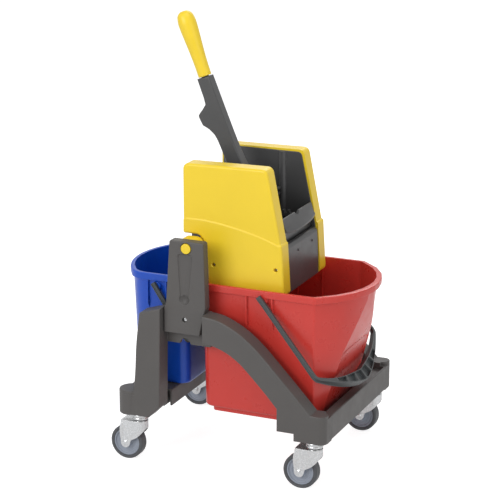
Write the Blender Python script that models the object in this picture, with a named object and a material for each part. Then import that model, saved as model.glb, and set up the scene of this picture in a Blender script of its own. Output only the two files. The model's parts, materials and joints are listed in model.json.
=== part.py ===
"""Twin-bucket mop trolley with a lever press wringer, in metres, +Z up, +X towards the front.

Each sub-part is one named object. Sizes are given about the middle of the wheelbase, and the last
step moves everything so that the footprint is centred on the origin.
"""

import math

import bmesh
import bpy
from mathutils import Matrix, Vector

# Chassis
HALF_WIDTH = 0.2125
BEAM_INNER = 0.1705
FRONT_FACE = 0.276
FRAME_BOTTOM = 0.113
CORNER_TOP = 0.178
BAR_TOP = 0.170
FRAME_WALL = 0.004

# Casters
WHEEL_BASE = 0.426
TRACK = 0.374
WHEEL_RADIUS = 0.040
WHEEL_WIDTH = 0.025
TRAIL = 0.030
AXLE_RADIUS = 0.004

# Buckets
RIM = 0.4267
LIP_HEIGHT = 0.016
LIP_OUT = 0.006
FRONT_LIP = 1.8
BUCKET_WALL = 0.003

# Press
TRUNNION = (-0.061, 0.514)
SHAFT = (0.005, 0.595)
SHELL_OUTER = 0.1258
SHELL_INNER = 0.0875
LINER_OUTER = 0.0872
LINER_INNER = 0.0850
SHAFT_RADIUS = 0.009
BEARING_RADIUS = 0.0122
PITCH_RADIUS = 0.044
TEETH_ROUND = 22
RACK_SIDES = (0.0585, 0.0695)
RACK_BASE = 0.5382
RACK_TAIL = -0.024
GRIP_BASE = (-0.1025, 0.857)
GRIP_LEAN = math.radians(20.2)

GAP = 0.0003
CENTRE_X = 0.0199

COLOURS = {
    "frame_grey": (0.105, 0.100, 0.095, 1.0),
    "bucket_red": (0.60, 0.045, 0.035, 1.0),
    "bucket_blue": (0.004, 0.060, 0.48, 1.0),
    "press_yellow": (0.83, 0.60, 0.035, 1.0),
    "press_grey": (0.055, 0.055, 0.058, 1.0),
    "bail_grey": (0.060, 0.068, 0.070, 1.0),
    "zinc": (0.62, 0.61, 0.58, 1.0),
    "tyre_grey": (0.085, 0.088, 0.095, 1.0),
    "wheel_grey": (0.29, 0.31, 0.35, 1.0),
}
METALLIC = ("zinc",)


def material(name):
    """The named finish, made once."""
    found = bpy.data.materials.get(name)
    if found:
        return found
    made = bpy.data.materials.new(name)
    made.use_nodes = True
    shader = made.node_tree.nodes["Principled BSDF"]
    shader.inputs["Base Color"].default_value = COLOURS[name]
    shader.inputs["Metallic"].default_value = 1.0 if name in METALLIC else 0.0
    shader.inputs["Roughness"].default_value = 0.35 if name in METALLIC else 0.45
    return made


def object_of(name, bm):
    """A scene object holding this mesh, with its normals facing out."""
    bmesh.ops.recalc_face_normals(bm, faces=bm.faces)
    mesh = bpy.data.meshes.new(name)
    bm.to_mesh(mesh)
    bm.free()
    made = bpy.data.objects.new(name, mesh)
    bpy.context.scene.collection.objects.link(made)
    return made


def prism(outline, low, high, across="Y", name="piece"):
    """A flat outline pushed along one axis. The outline's pairs are the two other axes in order."""
    bm = bmesh.new()
    rows = []
    for level in (low, high):
        row = []
        for first, second in outline:
            point = {
                "X": (level, first, second),
                "Y": (first, level, second),
                "Z": (first, second, level),
            }[across]
            row.append(bm.verts.new(point))
        rows.append(row)
    bm.faces.new(rows[0])
    bm.faces.new(rows[1][::-1])
    count = len(outline)
    for i in range(count):
        j = (i + 1) % count
        bm.faces.new((rows[0][i], rows[1][i], rows[1][j], rows[0][j]))
    return object_of(name, bm)


def box(low, high, name="piece"):
    """A box between two corners."""
    outline = [(low[0], low[1]), (high[0], low[1]), (high[0], high[1]), (low[0], high[1])]
    return prism(outline, low[2], high[2], "Z", name)


def lofted(rings, name="piece"):
    """Skin over rings of equal count, closed by a face on the first and on the last."""
    bm = bmesh.new()
    rows = [[bm.verts.new(point) for point in ring] for ring in rings]
    bm.faces.new(rows[0])
    bm.faces.new(rows[-1][::-1])
    count = len(rings[0])
    for below, above in zip(rows, rows[1:]):
        for i in range(count):
            j = (i + 1) % count
            bm.faces.new((below[i], above[i], above[j], below[j]))
    return object_of(name, bm)


def turned(profile, centre, axis="Y", steps=24, closed=False, turn=0.0, name="piece"):
    """A solid of revolution from (radius, along) pairs. A closed profile makes a ring."""
    bm = bmesh.new()
    rows = []
    for radius, along in profile:
        row = []
        for i in range(1 if radius == 0 else steps):
            angle = turn + 2 * math.pi * i / steps
            a, b = radius * math.cos(angle), radius * math.sin(angle)
            offset = {"X": (along, a, b), "Y": (a, along, b), "Z": (a, b, along)}[axis]
            row.append(bm.verts.new(Vector(centre) + Vector(offset)))
        rows.append(row)
    pairs = list(zip(rows, rows[1:]))
    if closed:
        pairs.append((rows[-1], rows[0]))
    for first, second in pairs:
        for i in range(steps):
            j = (i + 1) % steps
            corners = [first[i % len(first)], second[i % len(second)]]
            corners += [second[j % len(second)], first[j % len(first)]]
            unique = list(dict.fromkeys(corners))
            if len(unique) > 2:
                bm.faces.new(unique)
    if not closed:
        for row in (rows[0], rows[-1]):
            if len(row) > 1:
                bm.faces.new(row)
    return object_of(name, bm)


def span(side, inner, outer):
    """The low and high Y of a stretch between two distances from the middle plane, on one side."""
    return sorted((side * inner, side * outer))


def both_ways(half):
    """A profile that mirrors this half, whose pairs run from the middle outwards."""
    return [(radius, -along) for radius, along in reversed(half)] + half


def rod(radius, low, high, centre, axis="Y", steps=16):
    """A plain cylinder between two positions along its axis."""
    return turned([(radius, low), (radius, high)], centre, axis, steps)


def combined(body, tool, operation):
    """The body after one Boolean with the tool, which is then removed."""
    modifier = body.modifiers.new("Boolean", "BOOLEAN")
    modifier.operation = operation
    modifier.solver = "EXACT"
    modifier.object = tool
    bpy.context.view_layer.update()
    graph = bpy.context.evaluated_depsgraph_get()
    result = bpy.data.meshes.new_from_object(body.evaluated_get(graph))
    body.modifiers.clear()
    body.data = result
    bpy.data.objects.remove(tool)
    return body


def joined(body, *tools):
    for tool in tools:
        combined(body, tool, "UNION")
    return body


def cut(body, *tools):
    for tool in tools:
        combined(body, tool, "DIFFERENCE")
    return body


def bevelled(body, width, segments=1, chosen=None):
    """Rounds the sharp edges, or only those whose two ends both satisfy the given test."""
    bm = bmesh.new()
    bm.from_mesh(body.data)
    edges = []
    for edge in bm.edges:
        sharp = len(edge.link_faces) == 2 and edge.calc_face_angle() > math.radians(40)
        if sharp and (chosen is None or all(chosen(v.co) for v in edge.verts)):
            edges.append(edge)
    bmesh.ops.bevel(bm, geom=edges, offset=width, segments=segments, profile=0.5, affect="EDGES")
    bm.to_mesh(body.data)
    bm.free()
    return body


def part(name, body, finish, origin=(0.0, 0.0, 0.0)):
    """Names the body, sets its finish and its origin, and smooths all but its sharp edges."""
    body.name = name
    body.data.name = name
    bm = bmesh.new()
    bm.from_mesh(body.data)
    bmesh.ops.remove_doubles(bm, verts=bm.verts, dist=0.000002)
    bmesh.ops.recalc_face_normals(bm, faces=bm.faces)
    for edge in bm.edges:
        edge.smooth = len(edge.link_faces) == 2 and edge.calc_face_angle() < math.radians(32)
    for face in bm.faces:
        face.smooth = True
        face.material_index = 0
    bmesh.ops.transform(bm, matrix=Matrix.Translation(-Vector(origin)), verts=bm.verts)
    bm.to_mesh(body.data)
    bm.free()
    body.data.materials.clear()
    body.data.materials.append(material(finish))
    body.location = Vector(origin) - Vector((CENTRE_X, 0.0, 0.0))
    return body


def arc(centre, radius, start, end, steps):
    """Points on an arc, with its angles in degrees."""
    points = []
    for i in range(steps + 1):
        angle = math.radians(start + (end - start) * i / steps)
        points.append((centre[0] + radius * math.cos(angle), centre[1] + radius * math.sin(angle)))
    return points


def rounded(outline, radii, steps=3):
    """The outline with an arc of the radius given for each corner, or left sharp under 2 mm."""
    points = []
    count = len(outline)
    for i in range(count):
        corner = Vector(outline[i])
        radius = radii if isinstance(radii, float) else radii[i]
        if radius <= 0.002:
            points.append(tuple(corner))
            continue
        back = (Vector(outline[i - 1]) - corner).normalized()
        on = (Vector(outline[(i + 1) % count]) - corner).normalized()
        half = back.angle(on) / 2
        reach = radius / math.tan(half)
        middle = corner + (back + on).normalized() * radius / math.sin(half)
        first = corner + back * reach - middle
        last = corner + on * reach - middle
        sweep = first.angle_signed(last)
        for k in range(steps + 1):
            angle = -sweep * k / steps
            c, s = math.cos(angle), math.sin(angle)
            spoke = Vector((first.x * c - first.y * s, first.x * s + first.y * c))
            points.append(tuple(middle + spoke))
    return points


def inset(outline, distance):
    """The outline moved inwards by a distance; it runs counter-clockwise."""
    area = 0.0
    count = len(outline)
    for i in range(count):
        x0, y0 = outline[i]
        x1, y1 = outline[(i + 1) % count]
        area += x0 * y1 - x1 * y0
    sign = 1.0 if area > 0 else -1.0
    lines = []
    for i in range(count):
        start, end = Vector(outline[i]), Vector(outline[(i + 1) % count])
        along = (end - start).normalized()
        lines.append((start + Vector((-along.y, along.x)) * distance * sign, along))
    points = []
    for i in range(count):
        (p, u), (q, v) = lines[i - 1], lines[i]
        cross = u.x * v.y - u.y * v.x
        if abs(cross) < 1e-6:
            points.append(tuple(q))
            continue
        gap = q - p
        points.append(tuple(p + u * ((gap.x * v.y - gap.y * v.x) / cross)))
    return points


def soft_plate(outline, radii, back, face, edge, steps=2):
    """A plate along Y whose edges round over towards its face. Radii below zero mark inner corners."""
    way = 1.0 if face > back else -1.0
    rings = []
    stages = [(back, 0.0)]
    for k in range(steps + 1):
        angle = math.radians(90 * k / steps)
        stages.append((face - way * edge * (1 - math.sin(angle)), edge * (1 - math.cos(angle))))
    for y, depth in stages:
        sizes = []
        for radius in radii:
            if radius < 0:
                sizes.append(depth - radius)
            else:
                sizes.append(max(radius - depth, 0.0025) if radius > 0.002 else 0.0)
        rings.append([(x, y, z) for x, z in rounded(inset(outline, depth), sizes)])
    return lofted(rings)


# Clear the scene
for old in list(bpy.data.objects):
    bpy.data.objects.remove(old)


# Chassis side frames: rear leg, post socket and arched beam in one moulding
BEAM_TOP = [
    (-0.016, 0.370),
    (0.021, 0.365),
    (0.057, 0.350),
    (0.087, 0.332),
    (0.117, 0.307),
    (0.148, 0.276),
    (0.241, CORNER_TOP),
]
BEAM_UNDER = [
    (0.162, 0.182),
    (0.133, 0.214),
    (0.102, 0.246),
    (0.072, 0.274),
    (0.042, 0.293),
    (0.011, 0.304),
    (-0.016, 0.306),
]
CORNER_RADIUS = 0.017
CORNER = (FRONT_FACE - CORNER_RADIUS, HALF_WIDTH - CORNER_RADIUS)
REAR_BOSS = (-0.203, 0.186)
REAR_BOSS_RADIUS = 0.029
NOTCH = (-0.075, 0.287)

LEG = [
    (-0.199, FRAME_BOTTOM),
    (-0.150, FRAME_BOTTOM),
    (-0.122, 0.141),
    (-0.1175, 0.374),
    (-0.169, 0.358),
    (-0.178, 0.285),
    (-0.184, 0.197),
]
BEAM = (
    BEAM_TOP
    + [
        (CORNER[0] + 0.003, CORNER_TOP),
        (CORNER[0] + 0.003, FRAME_BOTTOM),
        (0.202, FRAME_BOTTOM),
        (0.202, 0.130),
        (0.162, 0.130),
    ]
    + BEAM_UNDER
)


def side_frame(side, label):
    def across(outline, inner, outer):
        return prism(outline, *span(side, inner, outer))

    leg = soft_plate(LEG, [0.001] * len(LEG), side * BEAM_INNER, side * HALF_WIDTH, 0.003, 1)
    body = soft_plate(BEAM, [0.001] * len(BEAM), side * BEAM_INNER, side * HALF_WIDTH, 0.003, 1)
    web = [(-0.123, 0.375), (-0.123, 0.287), (NOTCH[0] - 0.013, 0.287)]
    web += arc(NOTCH, 0.013, 180, 0, 6)[1:]
    web += [(-0.013, 0.287), (-0.013, 0.368)]
    joined(body, across(web, 0.1625, 0.1727), leg)
    def upright(centre, radius, top, chamfer):
        profile = [(radius, FRAME_BOTTOM), (radius, top - chamfer), (radius - chamfer, top)]
        return turned(profile, (centre[0], side * centre[1], 0.0), "Z", 20)

    boss = upright(REAR_BOSS, REAR_BOSS_RADIUS, 0.170, 0.003)
    low, high = span(side, BEAM_INNER, CORNER[1])
    block = box((CORNER[0] - 0.004, low, FRAME_BOTTOM), (FRONT_FACE, high, 0.150))
    corner = upright(CORNER, CORNER_RADIUS, CORNER_TOP, 0.002)
    joined(body, boss, block, corner)
    # Ribbed hollows, open towards the buckets
    wall = FRAME_WALL
    upper = inset(BEAM_TOP[0:4] + BEAM_UNDER[3:], wall)
    lower = inset(BEAM_TOP[3:6] + [(0.226, 0.194), (0.186, 0.150)] + BEAM_UNDER[0:4], wall)
    hollows = [upper, lower]
    hollows.append([(-0.175, 0.190), (-0.127, 0.190), (-0.1235, 0.358), (-0.163, 0.348)])
    for hollow in hollows:
        cut(body, across(hollow, BEAM_INNER - 0.010, HALF_WIDTH - wall))
    # Lug that the front bucket hangs on
    low, high = span(side, 0.150, 0.164)
    joined(body, box((-0.044, low, 0.294), (-0.018, high, 0.304)))
    return part("side_frame_" + label, body, "frame_grey")


POST = [
    (-0.1165, 0.3165),
    (-0.1165, 0.372),
    (-0.1110, 0.381),
    (-0.1010, 0.530),
    (-0.0190, 0.530),
    (-0.0150, 0.381),
    (-0.0175, 0.372),
    (-0.0300, 0.3165),
]
POST_OUTER, POST_INNER = 0.195, 0.173
DIMPLE = (-0.066, 0.397)
POST_BOLT = (-0.066, 0.350)


def post(side, label):
    radii = [0.001, 0.001, 0.001, 0.005, 0.005, 0.001, 0.001, 0.001]
    body = soft_plate(POST, radii, side * POST_INNER, side * POST_OUTER, 0.0025, 1)
    # Tapering groove down from the bearing, then the round dimple, the bolt recess and the bearing
    groove = [(-0.082, 0.492), (-0.076, 0.400), (-0.056, 0.400), (-0.045, 0.495)]
    cut(body, prism(groove, *span(side, POST_OUTER - 0.003, POST_OUTER + 0.003)))
    for place, radius, depth, steps in (
        (DIMPLE, 0.0130, 0.012, 16),
        (POST_BOLT, 0.0055, 0.010, 16),
        (TRUNNION, BEARING_RADIUS, 0.040, 24),
    ):
        reach = span(side, POST_OUTER - depth, POST_OUTER + 0.010)
        cut(body, rod(radius, *reach, (place[0], 0.0, place[1]), steps=steps))
    return part("post_" + label, body, "frame_grey")


def post_bolt(side, label):
    place = (POST_BOLT[0], 0.0, POST_BOLT[1])
    body = rod(0.0050, *span(side, POST_OUTER - 0.0097, POST_OUTER - 0.006), place, steps=12)
    cut(body, rod(0.0024, *span(side, POST_OUTER - 0.008, POST_OUTER), place, steps=6))
    return part("post_bolt_" + label, body, "zinc")


# Crossbars
def crossbars():
    inner = BEAM_INNER - GAP
    front = [
        (0.1625, 0.126),
        (0.1625, 0.1335),
        (0.2430, 0.1335),
        (0.2450, 0.163),
        (0.2700, 0.163),
        (0.2715, BAR_TOP),
        (0.2760, BAR_TOP),
        (0.2760, 0.1145),
        (0.2720, 0.1145),
        (0.2700, 0.158),
        (0.2490, 0.158),
        (0.2470, 0.126),
    ]
    body = prism(front, -inner, inner)
    part("front_crossbar", bevelled(body, 0.0015, 1, lambda co: co.x > 0.2713), "frame_grey")
    rear = [
        (-0.2200, 0.128),
        (-0.2200, 0.1675),
        (-0.1180, 0.1675),
        (-0.1180, 0.128),
        (-0.1220, 0.128),
        (-0.1235, 0.1625),
        (-0.2150, 0.1625),
        (-0.2165, 0.128),
    ]
    reach = 0.1565
    body = prism(rear, -reach, reach)
    rail = [(-0.1760, 0.130), (-0.1760, 0.1630), (-0.1300, 0.1630), (-0.1300, 0.130)]
    joined(body, prism(rail, -inner, inner))
    part("rear_crossbar", body, "frame_grey")


# Casters
def caster(end, side, label):
    swivel = (end * WHEEL_BASE / 2 + TRAIL, side * TRACK / 2)
    hub = (swivel[0] - TRAIL, swivel[1], WHEEL_RADIUS)
    axis = (swivel[0], swivel[1], 0.100)
    top = FRAME_BOTTOM - GAP
    cup_profile = [(0.0120, 0.0985), (0.0185, 0.0985), (0.0195, 0.1030), (0.0185, top)]
    cup_profile += [(0.0, top), (0.0, 0.1030), (0.0120, 0.1030)]
    cup = turned(cup_profile, (swivel[0], swivel[1], 0.0), "Z", 20, closed=True)
    part("caster_cup_" + label, cup, "zinc", axis)
    # Pressed fork: a head plate, two swept legs and the kingpin that turns in the cup
    leg = [
        (-0.0400, 0.0940),
        (-0.0440, 0.0700),
        (-0.0395, 0.0400),
        (-0.0360, 0.0325),
        (-0.0300, 0.0300),
        (-0.0240, 0.0325),
        (-0.0190, 0.0420),
        (0.0000, 0.0560),
        (0.0150, 0.0780),
        (0.0190, 0.0940),
    ]
    outline = [(swivel[0] + x, z) for x, z in leg]
    crown = [outline[0], (outline[0][0], 0.0952), (outline[-1][0] - 0.013, 0.0952)]
    half_head = [(0.0060, 0.0185), (0.0175, 0.0110), (0.0195, 0.0)]
    head = [(-0.040, -0.0185)] + [(x, -y) for x, y in half_head]
    head += half_head[1::-1] + [(-0.040, 0.0185)]
    fork = prism([(swivel[0] + x, swivel[1] + y) for x, y in head], 0.0940, 0.0965, "Z")
    for face in (-1, 1):
        low, high = sorted((swivel[1] + face * 0.0163, swivel[1] + face * 0.0185))
        joined(fork, prism(crown + outline[:0:-1], low, high))
    joined(fork, rod(0.0085, 0.0950, 0.1020, (swivel[0], swivel[1], 0.0), "Z", 12))
    cut(fork, rod(AXLE_RADIUS + GAP, -0.03, 0.03, hub, steps=12))
    part("caster_fork_" + label, fork, "zinc", axis)
    axle = turned(
        both_ways([(AXLE_RADIUS, 0.0188), (0.0070, 0.0188), (0.0065, 0.0225), (0.0, 0.0225)]),
        hub,
        steps=12,
    )
    part("caster_axle_" + label, axle, "zinc", hub)
    half_core = [(0.0313, 0.0105), (0.0290, 0.0105), (0.0270, 0.0080)]
    half_core += [(0.0120, 0.0080), (0.0110, 0.0150), (0.0047, 0.0150)]
    core = turned(both_ways(half_core), hub, steps=24, closed=True, turn=math.pi / 24)
    part("caster_wheel_" + label, core, "wheel_grey", hub)
    # The tread's flats are tangent to the wheel circle, so one lies on the floor
    reach = WHEEL_RADIUS / math.cos(math.pi / 24)
    half = WHEEL_WIDTH / 2
    half_tyre = [(reach, half - 0.0035), (0.0375, half), (0.0345, half), (0.0317, 0.0110)]
    tyre = turned(both_ways(half_tyre), hub, steps=24, closed=True, turn=math.pi / 24)
    part("caster_tyre_" + label, tyre, "tyre_grey", hub)


# Buckets: D-shaped in plan, one flat end and one bowed end
SCOOP_TOP = 0.283
SCOOP_HALF = 0.095
SCOOP_SPLAY = 0.09
SCOOP_CORNER = 0.025
SCOOP_STEP = 0.005
SCOOP_BELLY = 0.004


def scoop(z):
    """Half width and depth of the scoop in a bowed end at one height: an arch that widens downwards."""
    half = SCOOP_HALF + SCOOP_SPLAY * (SCOOP_TOP - z)
    into = z - (SCOOP_TOP - SCOOP_CORNER)
    if into > 0:
        half -= SCOOP_CORNER - math.sqrt(max(SCOOP_CORNER**2 - into**2, 0.0))
    return half, SCOOP_STEP if z < SCOOP_TOP - 0.001 else 0.0


def bucket_ring(flat, shoulder, bow, half, z, scooped, corner=0.020):
    """One level of a bucket: bow is the far end of the curved side, and the flat end is opposite."""
    way = 1.0 if bow > flat else -1.0
    depth = abs(bow - shoulder)
    radius = (half * half + depth * depth) / (2 * depth)
    middle = bow - way * radius
    edge, step = scoop(min(z, SCOOP_TOP))
    if not scooped or z > SCOOP_TOP:
        step = 0.0
    points = []
    for k in range(4):
        angle = math.pi * k / 6
        x = flat + way * corner * (1 - math.cos(angle))
        points.append((x, half - corner * (1 - math.sin(angle)), z))
    points.append((shoulder - way * 0.004, half, z))
    bowed = [half - 0.003, (half + edge) / 2, edge + 0.004, edge, edge * 0.66, edge * 0.33, 0.0]
    for y in bowed:
        x = middle + way * math.sqrt(radius * radius - y * y)
        if y <= edge and step:
            x -= way * (step + SCOOP_BELLY * (1 - (y / edge) ** 2))
        points.append((x, y, z))
    return points + [(x, -y, z) for x, y, z in reversed(points[:-1])]


def bucket(name, flat, shoulder, bow, half, floor, rake, tuck, scooped):
    """A tapered bucket with a rolled lip. Its bowed end leans by rake and pulls in by tuck low down."""
    way = 1.0 if bow > flat else -1.0
    draft = 0.026
    height = RIM - LIP_HEIGHT

    def ring(z, grow):
        fall = height - z
        low = max(0.0, (0.300 - z) / (0.300 - floor)) ** 1.5
        shrink = draft * fall - grow
        lean = rake * fall + tuck * low - grow * (FRONT_LIP if grow > 0 and scooped else 1.0)
        return bucket_ring(
            flat + way * (0.2 * draft * fall - grow),
            shoulder + way * (0.6 * grow if scooped else 0.5 * grow - 0.5 * lean),
            bow - way * lean,
            half - shrink,
            z,
            scooped,
        )

    levels = [floor, floor + 0.045, 0.240, 0.300, height]
    if scooped:
        levels[2:3] = [0.225, 0.258, 0.268, 0.276, 0.2795, SCOOP_TOP]
    rings = [ring(z, 0.0) for z in levels]
    rings += [ring(height, LIP_OUT), ring(RIM - 0.002, LIP_OUT), ring(RIM, LIP_OUT - 0.002)]
    rings += [ring(RIM, 0.001 - BUCKET_WALL), ring(height - 0.003, -BUCKET_WALL)]
    for z in reversed(levels[1:-1]):
        rings.append(ring(z, -BUCKET_WALL))
    rings.append(ring(floor + BUCKET_WALL, -BUCKET_WALL))
    return lofted(rings, name)


def bucket_ear(body, pivot, half, side, rib_at):
    """Ribs under the lip and the boss that the bail's pin turns in."""
    place = (pivot[0], 0.0, pivot[1])
    for x in rib_at:
        low, high = span(side, half - 0.0045, half + LIP_OUT - 0.001)
        joined(body, box((x - 0.003, low, 0.336), (x + 0.003, high, RIM - LIP_HEIGHT + 0.004)))
    joined(body, rod(0.010, *span(side, half - 0.0035, half + LIP_OUT - 0.0005), place))
    cut(body, rod(0.0043, *span(side, half - 0.0005, half + 0.020), place, steps=12))


def bail(name, pivot, lean, tail, arm, reach, inner, splay, curve, grip):
    """A bucket bail: two arms and a bowed grip, in a plane that leans by the given angle.

    The arms spread by splay down to the grip, whose band reaches grip below and above the plane.
    """
    centre = Vector((pivot[0], 0.0, pivot[1]))
    down = Vector((math.cos(lean), 0.0, -math.sin(lean)))
    out = Vector((math.sin(lean), 0.0, math.cos(lean)))
    wide = 0.0040
    near = inner + wide
    far = near + splay
    path = [(-tail, near), (arm * 0.5, (near + far) / 2), (arm - 0.012, far), (arm, far - 0.004)]
    for k in range(1, 7):
        y = (far - 0.004) * (1 - k / 6)
        path.append((arm + reach * (1 - (y / far) ** curve), y))
    points = path + [(s, -y) for s, y in reversed(path[:-1])]
    rings = []
    for i, (s, y) in enumerate(points):
        before = Vector(points[max(i - 1, 0)])
        after = Vector(points[min(i + 1, len(points) - 1)])
        along = (after - before).normalized()
        across = Vector((along.y, -along.x))
        full = max(0.0, 1 - (y / far) ** 2) if s >= arm else 0.0
        low = -0.0055 - (grip[0] - 0.0055) * full
        high = 0.0050 + (grip[1] - 0.0050) * full
        ring = []
        for u, v in ((-wide, low), (wide, low), (wide, high), (-wide, high)):
            flat = Vector((s, y)) + across * u
            ring.append(centre + down * flat.x + Vector((0, flat.y, 0)) + out * v)
        rings.append(ring)
    body = bevelled(lofted(rings), 0.0012)
    for side in (-1, 1):
        joined(body, rod(0.0040, *span(side, inner - 0.0055, inner + 0.003), centre, steps=12))
    return part(name, body, "bail_grey", (pivot[0], 0.0, pivot[1]))


# Press wringer
SHELL = [
    (-0.0410, 0.406),
    (0.1430, 0.406),
    (0.1370, 0.519),
    (0.0995, 0.690),
    (-0.1015, 0.687),
    (-0.1015, 0.528),
    (-0.0520, 0.528),
    (-0.0520, 0.493),
    (-0.0440, 0.474),
]
SHELL_RADII = [0.004, 0.010, 0.020, 0.014, 0.014, 0.004, -0.018, 0.010, -0.010]
SHELL_STEP = 0.0018
SHELL_CREASE = [
    (0.1358, 0.5245),
    (0.0800, 0.5430),
    (0.0180, 0.5570),
    (-0.0440, 0.5655),
    (-0.1015, 0.5660),
]
SHELL_SCREWS = [(-0.027, 0.463), (0.122, 0.468)]


def shell(side, label):
    inner, outer = side * SHELL_INNER, side * SHELL_OUTER
    upper = SHELL[:1] + [(0.1350, 0.410), (0.1330, 0.5205)] + SHELL[3:]
    body = soft_plate(upper, SHELL_RADII, inner, outer - side * SHELL_STEP, 0.006)
    # The lower half stands proud of the upper, below a sweeping crease
    lower = SHELL[:2] + SHELL_CREASE + SHELL[5:]
    radii = SHELL_RADII[:2] + [0.006] + [0.001] * 3 + [0.010] + SHELL_RADII[5:]
    joined(body, soft_plate(lower, radii, inner + side * 0.0004, outer, 0.006))
    pocket = [
        (-0.0370, 0.412),
        (0.1300, 0.412),
        (0.1260, 0.519),
        (0.0915, 0.680),
        (-0.0940, 0.680),
        (-0.0940, 0.536),
        (-0.0370, 0.536),
    ]
    cut(body, prism(pocket, *span(side, SHELL_INNER - 0.005, SHELL_OUTER - 0.008)))
    for x, z in SHELL_SCREWS:
        boss = span(side, SHELL_INNER + 0.0005, SHELL_OUTER - 0.0050)
        joined(body, rod(0.0080, *boss, (x, 0.0, z), steps=12))
        cut(body, rod(0.0042, *span(side, 0.080, 0.130), (x, 0.0, z), steps=12))
    return part("press_shell_" + label, body, "press_yellow")


def shell_screw(index, side, label):
    x, z = SHELL_SCREWS[index]
    head = SHELL_OUTER - 0.0090
    body = rod(0.0038, *span(side, SHELL_INNER, head), (x, 0.0, z), steps=12)
    cut(body, rod(0.0018, *span(side, head - 0.0020, SHELL_OUTER), (x, 0.0, z), steps=6))
    return part("press_screw_" + ("rear_", "front_")[index] + label, body, "zinc")


LINER = [
    (-0.0400, 0.411),
    (0.1340, 0.411),
    (0.1298, 0.519),
    (0.0945, 0.6845),
    (-0.0975, 0.6845),
    (-0.0975, 0.492),
    (-0.0400, 0.478),
]
RIDGE = (0.049, 0.0855)
RIDGE_ENDS = (0.5300, 0.6835)


def liner(side, label):
    radii = [0.003, 0.003, 0.018, 0.011, 0.011, 0.006, 0.003]
    body = prism(rounded(LINER, radii), *span(side, LINER_INNER, LINER_OUTER))
    # Half-round ridge down the inner face, the shelf that the rack slides on, and the shaft's bore
    ridge = []
    for k in range(9):
        angle = math.pi * k / 8
        x = RIDGE[0] + 0.0085 * math.cos(angle)
        ridge.append((x, side * (RIDGE[1] + 0.0015 - 0.0080 * math.sin(angle))))
    joined(body, prism(ridge, *RIDGE_ENDS, "Z"))
    low, high = span(side, 0.056, 0.086)
    joined(body, box((-0.030, low, 0.5300), (0.012, high, RACK_BASE - 0.0005)))
    cut(body, rod(SHAFT_RADIUS + GAP, *span(side, 0.080, 0.0945), (SHAFT[0], 0.0, SHAFT[1]), steps=20))
    return part("press_liner_" + label, body, "press_grey")


def trunnion(side, label):
    profile = [
        (0.0, LINER_OUTER + GAP),
        (0.0070, LINER_OUTER + GAP),
        (0.0070, 0.1400),
        (0.0118, 0.1400),
        (0.0118, 0.1960),
        (0.0108, 0.1968),
        (0.0, 0.1968),
    ]
    axis = (TRUNNION[0], 0.0, TRUNNION[1])
    body = turned([(r, side * y) for r, y in profile], axis, steps=24)
    # Bearing block between the shell and the post, rounded in side view
    x, z = TRUNNION
    block = [(x - 0.0340, z - 0.0200), (x + 0.0140, z - 0.0200), (x + 0.0140, z + 0.0120)]
    block.append((x - 0.0340, z + 0.0120))
    block = rounded(block, [0.0080, 0.0060, 0.0180, 0.0140], 5)
    joined(body, prism(block, *span(side, 0.1300, 0.1722)))
    return part("trunnion_" + label, body, "press_yellow", axis)


def press_walls():
    half = LINER_INNER - GAP
    front = [
        (0.1352, 0.4080),
        (0.1318, 0.4950),
        (0.1240, 0.5115),
        (0.1240, 0.5160),
    ]
    front += arc((0.1238, 0.5040), 0.0120, 78, 6, 5)
    front.append((0.1395, 0.4080))
    body = prism(front, -half, half)
    part("press_front_wall", body, "press_grey")
    rear = [
        (-0.0380, 0.411),
        (-0.0380, 0.478),
        (-0.0870, 0.496),
        (-0.0900, 0.500),
        (-0.0900, 0.604),
        (-0.0860, 0.604),
        (-0.0860, 0.5015),
        (-0.0340, 0.4825),
        (-0.0340, 0.411),
    ]
    part("press_rear_wall", prism(rear, -half, half), "press_grey")
    # Fixed squeezing plate, ribbed, notched at its top for the moving jaw's rails
    quarter = [(half, 0.4175), (half, 0.527), (0.054, 0.527), (0.054, 0.562)]
    outline = quarter + [(-y, z) for y, z in reversed(quarter)]
    body = prism(outline, 0.0160, 0.0195, "X")
    for k in range(5):
        y = 0.022 * (k - 2)
        joined(body, box((0.0190, y - 0.003, 0.424), (0.0235, y + 0.003, 0.556)))
    part("press_back_plate", body, "press_grey")
    # Drain grid
    body = box((-0.0335, -half, 0.4120), (0.1310, half, 0.4172))
    for k in range(8):
        y = 0.020 * (k - 3.5)
        for low, high in ((-0.022, 0.008), (0.030, 0.070), (0.078, 0.118)):
            cut(body, box((low, y - 0.004, 0.40), (high, y + 0.004, 0.43)))
    part("press_drain_grid", body, "press_grey")


def toothed_sector(side, label):
    """Gear sector on the lever shaft, with teeth only where it meets the rack."""
    module = 2 * PITCH_RADIUS / TEETH_ROUND
    root = PITCH_RADIUS - 1.05 * module
    tip = PITCH_RADIUS + 0.70 * module
    pitch = 2 * math.pi / TEETH_ROUND
    points = []
    for k in range(-2, 7):
        middle = -math.pi / 2 + k * pitch
        for spread, radius in ((-0.34, root), (-0.135, tip), (0.135, tip), (0.34, root)):
            angle = middle + spread * pitch
            tooth = (SHAFT[0] + radius * math.cos(angle), SHAFT[1] + radius * math.sin(angle))
            points.append(tooth)
    points += arc(SHAFT, 0.018, 40, 200, 6)
    body = prism(points, *span(side, *RACK_SIDES))
    bore = rod(SHAFT_RADIUS + GAP, *span(side, 0.050, 0.080), (SHAFT[0], 0.0, SHAFT[1]), steps=20)
    cut(body, bore)
    return part("lever_gear_" + label, body, "press_grey", (SHAFT[0], 0.0, SHAFT[1]))


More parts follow.
